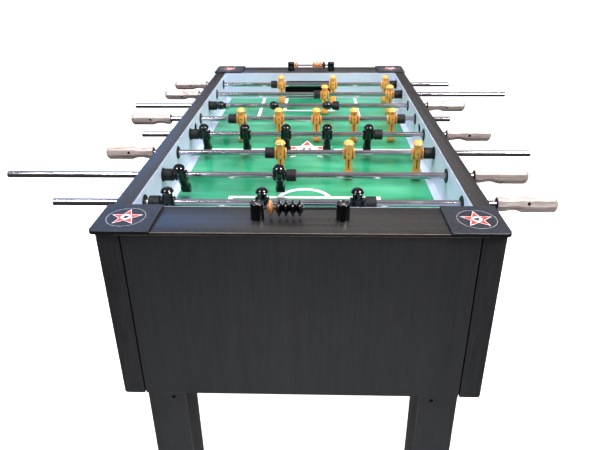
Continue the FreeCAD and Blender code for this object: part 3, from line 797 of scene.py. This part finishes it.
# ---- Playfield ----
def make_markings():
    """White lines, arcs, goal and penalty boxes as thin print."""
    bm = bmesh.new()
    low = FIELD_TOP - 0.05
    top = FIELD_TOP + PRINT_THICKNESS
    half = LINE_WIDTH / 2

    def line(x0, x1, y0, y1):
        add_plate(bm, [(x0, y0), (x1, y0), (x1, y1), (x0, y1)], low, top)

    def box_lines(half_width, depth, end):
        inner_y = end * (FIELD_HALF_Y - depth)
        outer_y = end * (FIELD_HALF_Y - 0.5)
        line(-half_width - half, half_width + half, inner_y - half, inner_y + half)
        for side in (-1, 1):
            start, stop = sorted((inner_y + end * half, outer_y))
            line(side * half_width - half, side * half_width + half, start, stop)

    for end in (-1, 1):
        box_lines(186, 261, end)
        box_lines(93, 176, end)
        arc_y = end * (FIELD_HALF_Y - 243.7)
        reach = 75.0
        middle_angle = 90 if end < 0 else 270
        add_ring(bm, 0, arc_y, 66 - half, 66 + half, low, top - 0.04, 0,
                 middle_angle - reach, middle_angle + reach, 40)
    for side in (-1, 1):
        start, stop = sorted((side * 84, side * (FIELD_HALF_X - 0.5)))
        line(start, stop, -half, half)
    build("field_markings", bm, [INK_WHITE], "cabinet", "white_strip")


def make_centre_star():
    """Red and white star printed at the middle of the field."""
    bm = bmesh.new()
    low = FIELD_TOP - 0.05
    add_plate(bm, star_outline(0, 2, 84, 90), low, FIELD_TOP + 0.18, 0)
    add_plate(bm, star_outline(0, 2, 73, 90), low, FIELD_TOP + 0.24, 1)
    add_plate(bm, circle_outline(0, 2, 37), low, FIELD_TOP + 0.30, 0)
    add_ring(bm, 0, 2, 31.0, 34.0, low, FIELD_TOP + 0.36, 2)
    add_plate(bm, star_outline(0, 2, 27, 270), low, FIELD_TOP + 0.36, 2)
    add_plate(bm, circle_outline(0, 2, 7), low, FIELD_TOP + 0.42, 0)
    build("field_star", bm, [INK_WHITE, INK_RED, INK_BLACK], "cabinet", "white_strip")


# ---- Rods and what is on them ----
def rod_y(index):
    """Y of a rod, counting from the near end."""
    return (index - (len(RODS) - 1) / 2) * ROD_SPACING


def make_bearings():
    """Flanged sleeves in both walls: a domed flange inside, a threaded sleeve outside."""
    bm = bmesh.new()
    profile = [(341.0, 8.0), (338.9, 8.0), (338.5, 8.6), (338.5, 14.5), (338.8, 16.4), (339.5, 17.3),
               (340.4, 17.5), (341.0, 17.5), (341.0, 11.0)]
    thread = [(PANEL_HALF_X + 0.75 * k, 10.98 if k % 2 else 10.4) for k in range(11)]
    tail = [(385.8, 10.4), (386.3, 9.8), (386.3, 8.5), (385.9, 8.0)]
    for index in range(len(RODS)):
        for side in (-1, 1):
            rings = [(side * along, radius) for along, radius in profile + thread + tail]
            add_turned(bm, rings, 40, "X", (0, rod_y(index), ROD_HEIGHT), closed=True)
    build("rod_bearing_sleeves", bm, [DARK_PLASTIC],
          "cabinet", "black_plastic", "rod_bearings", sharp_angle=40)


def make_bearing_nuts():
    """Chamfered hexagon nuts outside the side panels."""
    bm = bmesh.new()
    bore = SLEEVE_RADIUS + 0.02
    stations = [(PANEL_HALF_X, 14.2), (378.0, 15.0), (383.8, 15.0), (384.8, 13.9), (384.8, bore),
                (PANEL_HALF_X, bore)]
    for index in range(len(RODS)):
        for side in (-1, 1):
            profile = [(side * along, radius) for along, radius in stations]
            add_turned(bm, profile, 6, "X", (0, rod_y(index), ROD_HEIGHT), closed=True)
    build("bearing_hex_nuts", bm, [DARK_PLASTIC], "cabinet", "black_plastic", "bearing_nuts")


def make_rod_tube(name, index):
    """Plated tube, open at its tip, with chamfered rims."""
    low, high = millimetres(name + "_rod")
    bore = ROD_RADIUS - 1.6
    profile = [(low[0], bore + 0.3), (low[0], ROD_RADIUS - 0.4), (low[0] + 0.4, ROD_RADIUS),
               (high[0] - 0.4, ROD_RADIUS), (high[0], ROD_RADIUS - 0.4), (high[0], bore + 0.3),
               (high[0] - 0.3, bore), (low[0] + 0.3, bore)]
    mesh = turned_mesh(name, profile, 56, "X", (0, rod_y(index), ROD_HEIGHT), closed=True)
    settle(new_piece(name + "_tube", mesh, [STEEL]), name + "_spinner", "steel", name + "_rod")


def make_bumpers(name, index):
    """Rubber stops with fine ribs round them."""
    bm = bmesh.new()
    low, high = millimetres(name + "_bumpers")
    for start in (low[0], high[0] - BUMPER_LENGTH):
        profile = [(start, 8.0), (start, 13.6), (start + 0.5, 14.6), (start + 1.2, 15.0)]
        pitch = (BUMPER_LENGTH - 2.4) / 10
        for k in range(10):
            edge = start + 1.2 + pitch * k
            profile += [(edge + 0.15 * pitch, 15.0), (edge + 0.70 * pitch, 15.0),
                        (edge + 0.80 * pitch, 14.45), (edge + 0.95 * pitch, 14.45)]
        end = start + BUMPER_LENGTH
        profile += [(end - 1.2, 15.0), (end - 0.5, 14.6), (end, 13.6), (end, 8.0)]
        add_turned(bm, profile, 48, "X", (0, rod_y(index), ROD_HEIGHT), closed=True)
    mesh = finish_bmesh(name + "_bumpers", bm, 50)
    settle(new_piece(name + "_rubber_stops", mesh, [RUBBER]), name + "_slider", "rubber", name + "_bumpers")


def man_mesh(name):
    """One player round the origin, feet down: chest, arms, keyholed leg, ribbed foot, domed cap."""
    chest = bmesh.new()
    add_stack(chest, [(-16.6, 8.4, 6.4), (-15.2, 9.2, 7.9), (-12, 9.8, 9.8), (-7, 10.1, 11.4),
                      (0, 10.2, 12.1), (6, 10.1, 11.8), (10, 10.1, 10.8), (13, 10.0, 9.6),
                      (14.6, 9.6, 8.8)], 3.2, 4)
    shell = new_piece("man_chest", finish_bmesh("man_chest", chest), [])
    subtract(shell, [turned_mesh("seat", [(face * 30, 2.1), (face * 10.0, 2.1)], 24, "Y", (0, 0, 1.0))
                     for face in (-1, 1)])
    leg = bmesh.new()
    add_stack(leg, [(-12, 9.8, 7.6), (-20, 9.9, 7.5), (-32, 9.8, 7.1), (-43, 9.8, 7.0), (-46, 10.1, 7.3),
                    (-49, 11.3, 8.3), (-51.5, 12.0, 9.0), (-53, 12.1, 9.2)], 5.5, 3)
    post = new_piece("man_leg", finish_bmesh("man_leg", leg), [])
    grooves = []
    for face in (-1, 1):
        grooves.append(block_mesh("slot", (-1.6, min(face * 4.4, face * 20), -43),
                                  (1.6, max(face * 4.4, face * 20), MAN_EYE)))
        grooves.append(turned_mesh("eye", [(face * 20, 2.6), (face * 4.4, 2.6)], 24, "Y", (0, 0, MAN_EYE)))
    subtract(post, grooves)
    bm = bmesh.new()
    for piece in (shell, post):
        add_scaled_mesh(bm, piece.data, 1 / MM)
        bpy.data.objects.remove(piece)
    for side in (-1, 1):
        add_stack(bm, [(-17.6, 0.8, 3.2), (-16.9, 1.7, 5.4), (-14.5, 2.7, 7.8), (-9, 3.2, 9.2),
                       (-1, 3.4, 9.9), (6, 3.3, 9.6), (10, 2.8, 8.6), (12.2, 1.9, 6.8), (13.0, 0.9, 4.6)],
                  2.7, 4, side * 13.4, 32)
    # Core between the arms and the chest takes material 2: painted shade in the grooves.
    add_stack(bm, [(-14.8, 12.2, 5.6), (-13.4, 13.2, 7.8), (-9, 13.6, 8.3), (6, 13.6, 8.3), (9.6, 13.0, 7.6),
                   (11.4, 11.6, 5.8)], 6.0, 2, material=2)
    add_stack(bm, foot_rows(), 6.5, 1)
    add_turned(bm, cap_profile(), 48, "Z")
    # Black lining in the chest hole, dark slot floor and black eye: painted shade in the holes.
    for face in (-1, 1):
        add_turned(bm, [(face * 9.0, 2.05), (face * 10.6, 2.05), (face * 10.8, 1.0)], 20, "Y", (0, 0, 1.0),
                   material=1)
        add_plate_y(bm, -1.45, 1.45, -42.8, MAN_EYE, face * 4.2, face * 4.8)
        add_turned(bm, [(face * 4.1, 2.4), (face * 4.8, 2.4)], 20, "Y", (0, 0, MAN_EYE), material=1)
    return finish_bmesh(name, bm, 40)


def add_scaled_mesh(bm, mesh, factor):
    """Copies a mesh into a bmesh at another scale."""
    offset = [bm.verts.new(vertex.co * factor) for vertex in mesh.vertices]
    for polygon in mesh.polygons:
        bm.faces.new([offset[k] for k in polygon.vertices])


def add_plate_y(bm, x0, x1, z0, z1, y0, y1):
    """Small dark block standing in an XZ plane, the bottom of the leg's slot, coloured as painted shade."""
    rings = [[Vector((x0, y, z0)), Vector((x1, y, z0)), Vector((x1, y, z1)), Vector((x0, y, z1))]
             for y in (y0, y1)]
    skin_rings(bm, rings, material=2)


def foot_rows():
    """Foot block from the ankle down, with three shallow ribs across its faces."""
    rows = [(-52.5, 11.9, 8.9), (-54.0, 12.2, 9.4)]
    for z in (-56.0, -59.0, -62.0):
        rows += [(z, 12.2, 9.6), (z - 0.9, 12.2, 9.6), (z - 1.2, 12.2, 8.9), (z - 2.0, 12.2, 8.8)]
    rows += [(-65.6, 12.3, 9.0), (-71.6, 12.3, 6.9), (-72.8, 12.0, 6.2), (-73.2, 11.2, 5.4)]
    return rows


def cap_profile():
    """Head and bell-shaped cap, turned: (height, radius)."""
    rows = [(9.0, 9.2), (12.0, 10.3), (16.0, 10.8), (21.0, 10.9), (24.0, 11.0), (25.0, 11.9), (25.6, 13.4),
            (26.1, 14.3), (26.7, 14.4), (27.4, 13.9), (28.6, 13.1), (30.2, 12.3), (32.0, 11.0), (33.8, 8.9),
            (35.1, 6.1), (35.8, 3.2), (36.0, 0.4)]
    return smooth_table(rows, 3)


def make_men(name, index, row, meshes):
    """The men of one rod, all from one mesh."""
    count, spacing, tilt = row[1], row[2], row[3]
    low, high = millimetres(name + "_men")
    middle = (low[0] + high[0]) / 2
    team = name.split("_")[0]
    for k in range(count):
        x = middle + (k - (count - 1) / 2) * spacing
        piece = new_piece(f"{name}_man_{k + 1}", meshes[team], [])
        piece.location = Vector((x, rod_y(index), ROD_HEIGHT)) * MM
        piece.rotation_euler = (radians(tilt), 0, 0)
        slot = "yellow_plastic" if team == "yellow" else "black_gloss"
        settle(piece, name + "_spinner", slot)
        if k == 0:
            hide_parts(name + "_men")


def octagon_ring(along, flats, edge=0.7):
    """Octagon ring round X with its corners cut by a narrow edge, from its width across flats."""
    ring = []
    reach = flats / 2 * tan(pi / 8) - min(edge, flats * 0.08)
    for side in range(8):
        c, s = cos(side * pi / 4), sin(side * pi / 4)
        for shift in (-reach, reach):
            ring.append(Vector((along, flats / 2 * c - shift * s, flats / 2 * s + shift * c)))
    return ring


def handle_mesh(name, wooden):
    """Octagonal grip along +X from its inner end: flare, waist, grip and chamfered end."""
    rows = [(0.0, 27.5), (0.7, 29.8), (2.4, 31.2), (8.0, 31.6), (14.0, 30.7), (22.0, 28.0), (30.0, 26.0),
            (37.0, 25.7), (43.0, 27.2), (49.0, 30.8), (54.0, 33.8), (58.5, 35.0), (70.0, 35.0), (90.0, 35.0),
            (113.0, 35.0), (117.0, 34.3), (120.2, 31.9), (123.0, 27.6), (125.2, 21.6), (126.0, 16.0),
            (126.2, 7.0)]
    bm = bmesh.new()
    skin_rings(bm, [octagon_ring(along, flats) for along, flats in smooth_table(rows, 3)])
    piece = new_piece("handle_blank", finish_bmesh(name, bm, 12), [wooden, RECESS_SHADE_BLACK])
    hole = turned_mesh("hole", [(-40, 4.0), (-9.0, 4.0)], 28, "Y", (HANDLE_HOLE, 0, 0))
    subtract(piece, [hole])
    bm = bmesh.new()
    add_scaled_mesh(bm, piece.data, 1 / MM)
    bpy.data.objects.remove(piece)
    # Black floor in the screw hole and a black ring at the inner end: painted shade of the hole and of the
    # shaded end face with its gap round the rod.
    add_turned(bm, [(-10.0, 3.9), (-14.0, 3.9), (-14.6, 2.6), (-14.7, 0.8)], 24, "Y", (HANDLE_HOLE, 0, 0),
               material=1)
    end_shade_ring = [(-0.9, 8.2), (-1.2, 8.8), (-1.2, 11.6), (-0.7, 12.2), (0.4, 12.2), (0.4, 8.2)]
    add_turned(bm, end_shade_ring, 40, "X", closed=True, material=1)
    return finish_bmesh(name, bm, 12)


def make_handle(name, index, row, mesh):
    """A wooden handle, its domed end outward."""
    side, roll = row[4], row[5]
    low, high = millimetres(name + "_handle")
    piece = new_piece(name + "_grip", mesh, [])
    inner_end = low[0] if side > 0 else high[0]
    piece.location = Vector((inner_end, rod_y(index), ROD_HEIGHT)) * MM
    turn = Matrix.Rotation(0 if side > 0 else pi, 4, "Z")
    facing = roll if side > 0 else 180 - roll
    piece.rotation_euler = (turn @ Matrix.Rotation(radians(-facing), 4, "X")).to_euler()
    settle(piece, name + "_spinner", "handle_wood", name + "_handle")


def make_rods():
    """All eight rods with their stops, men and handles; each team's men share one mesh."""
    men = {"yellow": man_mesh("yellow_man"), "black": man_mesh("black_man")}
    # The second and third finishes colour the men's holes, slots and grooves: painted shade.
    for team, finishes in (("yellow", (AMBER, RECESS_SHADE_BLACK, AMBER_RECESS_SHADE)),
                           ("black", (BLACK_GLOSS, RECESS_SHADE_BLACK, RECESS_SHADE_BLACK))):
        for finish in finishes:
            men[team].materials.append(finish)
    grip = handle_mesh("grip", HANDLE_WOOD)
    grip.materials.append(HANDLE_WOOD)
    grip.materials.append(RECESS_SHADE_BLACK)
    for index, row in enumerate(RODS):
        make_rod_tube(row[0], index)
        make_bumpers(row[0], index)
        make_men(row[0], index, row, men)
        make_handle(row[0], index, row, grip)


# ---- Scorers ----
def scorer_shift(end):
    """The far scorer stands a little to the right."""
    return FAR_SCORER_X if end > 0 else 0.0


def make_score_posts():
    """Posts with a rounded shoulder, a dished top and a cross-head screw."""
    bm = bmesh.new()
    top = SCORE_POST_TOP
    profile = [(RAIL_TOP, 13.2), (top - 1.6, 13.2), (top - 0.7, 12.9), (top - 0.1, 12.3), (top, 11.6),
               (top - 0.4, 10.9), (top - 1.6, 10.2), (top - 2.0, 8.0), (top - 2.1, 4.2)]
    head = [(top - 2.3, 4.4), (top - 1.6, 4.3), (top - 1.0, 3.5), (top - 0.7, 2.0), (top - 0.65, 0.5)]
    for sx in (-1, 1):
        for sy in (-1, 1):
            x, y = sx * SCORE_POST_X + scorer_shift(sy), sy * SCORER_Y
            add_turned(bm, profile, 56, "Z", (x, y, 0))
            add_turned(bm, head, 32, "Z", (x, y, 0), material=1)
            # The cross-slot bars in the screw head are black: painted shade in the slots.
            for turn in (38, 128):
                c, s = cos(radians(turn)), sin(radians(turn))
                bar = [(x + a * c - b * s, y + a * s + b * c)
                       for a, b in ((-2.7, -0.5), (2.7, -0.5), (2.7, 0.5), (-2.7, 0.5))]
                add_plate(bm, bar, top - 1.2, top - 0.6, 2)
    build("scorer_posts", bm, [POST_GLOSS, ZINC, RECESS_SHADE_BLACK],
          "cabinet", "black_gloss", "score_posts", sharp_angle=40)


def make_score_rods():
    """Thin dark rods that carry the beads."""
    bm = bmesh.new()
    for sy in (-1, 1):
        profile = [(-75, 2.2), (-74.6, 2.6), (74.6, 2.6), (75, 2.2)]
        add_turned(bm, profile, 32, "X", (scorer_shift(sy), sy * SCORER_Y, SCORE_ROD_HEIGHT))
    build("scorer_rods", bm, [DARK_STEEL], "cabinet", "steel", "score_rods")


def make_beads(node, material, slot):
    """Double-cone beads with rounded rims and small hubs."""
    low, high = millimetres(node)
    count = round((high[0] - low[0] + 0.2) / BEAD_PITCH)
    rows = [(-6.5, 2.65), (-6.5, 5.6), (-6.1, 6.4), (-5.0, 7.9), (-3.0, 12.0), (-1.9, 14.5), (-1.3, 15.5),
            (-0.6, 15.95), (0.6, 15.95), (1.3, 15.5), (1.9, 14.5), (3.0, 12.0), (5.0, 7.9), (6.1, 6.4),
            (6.5, 5.6), (6.5, 2.65)]
    bm = bmesh.new()
    y = SCORER_Y if low[1] > 0 else -SCORER_Y
    for k in range(count):
        add_turned(bm, rows, 56, "X", (low[0] + 6.5 + BEAD_PITCH * k, y, SCORE_ROD_HEIGHT), closed=True)
    build(node + "_turned", bm, [material], node, slot, node, sharp_angle=50)


# ---- Serving holes and legs ----
def make_serve_cups():
    """Plastic linings of the serving holes with a rounded outer flange."""
    bm = bmesh.new()
    profile = [(LINER_HALF_X + 0.2, 19.0), (LINER_HALF_X + 0.2, 20.9), (PANEL_HALF_X, 20.9),
               (PANEL_HALF_X, 24.6), (378.4, 25.0), (379.3, 24.6), (379.8, 23.4), (379.8, 20.4),
               (379.3, 19.4), (378.2, 19.0)]
    for side in (-1, 1):
        rings = [(side * along, radius) for along, radius in profile]
        add_turned(bm, rings, 56, "X", (0, 0, SERVE_HOLE_HEIGHT), closed=True)
    build("serving_cup_linings", bm, [DARK_PLASTIC],
          "cabinet", "black_plastic", "serve_cups", sharp_angle=40)


def make_legs():
    """Square legs with eased edges, notched round the side panels."""
    for end, sy in (("near", -1), ("far", 1)):
        for side, sx in (("left", -1), ("right", 1)):
            x, y = sx * LEG_X, sy * LEG_Y
            mesh = block_mesh("leg", (x - LEG_HALF, y - LEG_HALF, 18), (x + LEG_HALF, y + LEG_HALF, LEG_TOP))
            piece = new_piece(f"leg_post_{end}_{side}", mesh, [PANEL_BLACK, EDGE_SHEEN])
            notch = sorted((sx * 334.9, sx * 400))
            notch_low = (notch[0], y - 60, CABINET_BOTTOM)
            subtract(piece, [block_mesh("notch", notch_low, (notch[1], y + 60, 560))])
            # The bevels take the lighter laminate: a painted sheen along the leg's edges.
            bevel(piece, 1.8, 3, 1)
            settle(piece, "cabinet", "black_woodgrain")
    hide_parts("legs")


def make_leg_screws():
    """Domed screw heads near the top of each leg's outer end face."""
    bm = bmesh.new()
    for sx in (-1, 1):
        for sy in (-1, 1):
            face_y = sy * (LEG_Y + LEG_HALF)
            profile = [(face_y - sy * 0.5, 4.2), (face_y + sy * 0.6, 4.2), (face_y + sy * 1.5, 3.5),
                       (face_y + sy * 2.0, 2.1), (face_y + sy * 1.0, 1.6), (face_y + sy * 0.9, 0.2)]
            add_turned(bm, profile, 28, "Y", (sx * (LEG_X - 14), 0, LEG_SCREW_HEIGHT))
    build("leg_screw_heads", bm, [DARK_PLASTIC], "cabinet", "steel", sharp_angle=40)


def make_levelers():
    """Adjustable feet: ribbed pad, hexagon collar and threaded stud."""
    bm = bmesh.new()
    pad = [(0.0, 17.5), (0.4, 18.8), (1.6, 19.8), (3.0, 20.0), (6.4, 19.6), (7.8, 18.2), (9.0, 15.0),
           (9.0, 9.0)]
    stud = [(18.0, 5.0), (18.6, 4.6), (48.0, 4.6)]
    for sx in (-1, 1):
        for sy in (-1, 1):
            centre = (sx * LEG_X, sy * LEG_Y, 0)
            add_turned(bm, pad, 48, "Z", centre)
            add_turned(bm, [(8.5, 8.2), (9.0, 9.0), (17.2, 9.0), (18.0, 8.2)], 6, "Z", centre)
            add_turned(bm, stud, 24, "Z", centre)
    build("leg_leveling_feet", bm, [DARK_PLASTIC],
          "cabinet", "black_plastic", "leg_levelers", sharp_angle=30)


# ---- Stage ----
def make_floor():
    """Wide pale floor, curved up far away, that glows near white and lights nothing else."""
    finish = Finish("studio_floor", (0.86, 0.86, 0.86), 0.75, specular=0.2)
    tint = finish.noise(finish.coordinates(), 1.2, 2.0, 0.5)
    finish.paint(tint, [(0.3, (0.85, 0.85, 0.855)), (0.7, (0.88, 0.88, 0.88))])
    finish.set("Emission Color", (1.0, 1.0, 1.0, 1.0))
    finish.set("Emission Strength", 0.88)
    bm = bmesh.new()
    profile = [(0, 500), (0, 14000), (400, 17000), (1600, 19500), (4000, 21000), (14000, 21500)]
    add_turned(bm, profile, 96, "Z")
    bm.faces.ensure_lookup_table()
    bmesh.ops.delete(bm, geom=[bm.faces[-1]], context="FACES_ONLY")
    ground = new_piece("studio_ground", finish_bmesh("floor", bm), [finish.material])
    ground.visible_diffuse = False
    ground.visible_glossy = False
    ground.visible_shadow = False


def make_world():
    """Dim room round the table: warm ahead, darker behind and below, with a cool window glow ahead left."""
    world = bpy.data.worlds.new("studio")
    bpy.context.scene.world = world
    world.use_nodes = True
    nodes, links = world.node_tree.nodes, world.node_tree.links
    direction = nodes.new("ShaderNodeTexCoord").outputs["Generated"]

    def toward(aim, low, high, color):
        """Colour that fades in as the direction nears the aim."""
        dot = nodes.new("ShaderNodeVectorMath")
        dot.operation = "DOT_PRODUCT"
        links.new(direction, dot.inputs[0])
        dot.inputs[1].default_value = Vector(aim).normalized()
        fade = nodes.new("ShaderNodeMapRange")
        fade.interpolation_type = "SMOOTHSTEP"
        fade.inputs["From Min"].default_value = low
        fade.inputs["From Max"].default_value = high
        links.new(dot.outputs["Value"], fade.inputs["Value"])
        tint = nodes.new("ShaderNodeVectorMath")
        tint.operation = "SCALE"
        tint.inputs[0].default_value = color
        links.new(fade.outputs["Result"], tint.inputs["Scale"])
        return tint.outputs[0]

    parts = [
        toward((0, 0, 1), -1.6, -0.6, (0.07, 0.07, 0.075)),
        toward((0, 0, 1), -0.1, 0.5, (0.19, 0.175, 0.19)),
        toward((0, 0.8, 0.6), 0.88, 1.0, (0.44, 0.40, 0.39)),
        toward((-0.42, 0.80, 0.43), 0.94, 0.999, (0.15, 0.62, 1.5)),
    ]
    total = parts[0]
    for part in parts[1:]:
        add = nodes.new("ShaderNodeVectorMath")
        links.new(total, add.inputs[0])
        links.new(part, add.inputs[1])
        total = add.outputs[0]
    links.new(total, nodes["Background"].inputs["Color"])


def area_light(name, position, target, width, depth, power, color):
    light = bpy.data.lights.new(name, "AREA")
    light.shape = "RECTANGLE"
    light.size, light.size_y = width, depth
    light.energy = power
    light.color = color
    holder = bpy.data.objects.new(name, light)
    bpy.context.scene.collection.objects.link(holder)
    holder.location = position
    holder.rotation_euler = (Vector(target) - Vector(position)).to_track_quat("-Z", "Y").to_euler()
    holder.visible_camera = False
    return holder


def make_lights():
    """Broad fills that only shade; a thin strip, two softboxes and a floor glow that only shine."""
    fills = (("overhead_fill", (0.1, 0.1, 2.9), (0, 0, 0.85), 1.8, 1.8, 120),
             ("left_fill", (-2.4, -0.4, 1.9), (0, 0, 0.85), 2.2, 1.4, 20),
             ("right_fill", (2.4, -0.4, 1.9), (0, 0, 0.85), 2.2, 1.4, 30),
             ("front_fill", (0.0, -1.45, 0.05), (0, -0.7, 0.60), 1.6, 0.3, 10.5))
    for name, place, target, width, depth, power in fills:
        light = area_light(name, place, target, width, depth, power, (1.0, 0.99, 0.985))
        light.visible_glossy = False
    shines = (("thin_strip", (0, -0.6, 3.0), 3.8, 0.30, 4.0, (1.0, 0.98, 0.98)),
              ("softbox_left", (-1.25, -1.5, 2.7), 0.75, 0.75, 60, (0.90, 0.96, 1.0)),
              ("softbox_right", (1.45, -1.3, 2.6), 0.75, 0.75, 165, (1.0, 0.98, 0.96)),
              ("floor_glow", (0, -0.25, 0.03), 0.9, 0.9, 0.4, (1.0, 1.0, 1.0)))
    for name, place, width, depth, power, color in shines:
        light = area_light(name, place, (0, -0.1, 0.85), width, depth, power, color)
        light.visible_diffuse = False


def make_camera():
    """Camera of the reference view: above the near end, looking down along the table."""
    data = bpy.data.cameras.new("view")
    data.sensor_width = 36.0
    data.lens = 32.094
    data.shift_x = -0.0033
    data.shift_y = -0.0583
    data.clip_end = 200.0
    camera = bpy.data.objects.new("view", data)
    bpy.context.scene.collection.objects.link(camera)
    heading = Matrix.Rotation(radians(1.79), 4, "Z")
    pitch = Matrix.Rotation(radians(90 - 24.81), 4, "X")
    roll = Matrix.Rotation(radians(-0.48), 4, "Z")
    camera.matrix_world = Matrix.Translation((0.0325, -1.5622, 1.3932)) @ heading @ pitch @ roll
    bpy.context.scene.camera = camera


# ---- Build ----
def dress_kept_nodes():
    """Finishes for the CAD nodes whose shape is right as it is."""
    dress("side_liners", LINER_WHITE)
    dress("goal_walls", LINER_WHITE)
    dress("playfield", FIELD_GREEN)
    dress("side_ramps", STRIP_WHITE)
    dress("cabinet_floor", BOARD)
    dress("goal_boxes", DARK_PLASTIC)
    dress("return_chutes", DARK_PLASTIC)
    dress("leg_bolts", ZINC)


dress_kept_nodes()
make_end_board("near_end_board", "end_panel_near")
make_end_board("far_end_board", "end_panel_far")
make_side_panel(-1)
make_side_panel(1)
make_side_rails()
make_end_rail(-1)
make_end_rail(1)
make_corner_caps()
make_badges()
make_markings()
make_centre_star()
make_bearings()
make_bearing_nuts()
make_rods()
make_score_posts()
make_score_rods()
make_beads("near_marker_bead", BEAD_ORANGE, "orange_bead")
make_beads("near_counter_beads", BLACK_GLOSS, "black_gloss")
make_beads("far_moved_bead", BEAD_ORANGE, "orange_bead")
make_beads("far_counter_beads", BEAD_ORANGE, "orange_bead")
make_beads("far_marker_bead", BLACK_GLOSS, "black_gloss")
make_serve_cups()
make_legs()
make_leg_screws()
make_levelers()
make_floor()
make_world()
make_lights()
make_camera()
bpy.context.scene.view_settings.view_transform = "Standard"
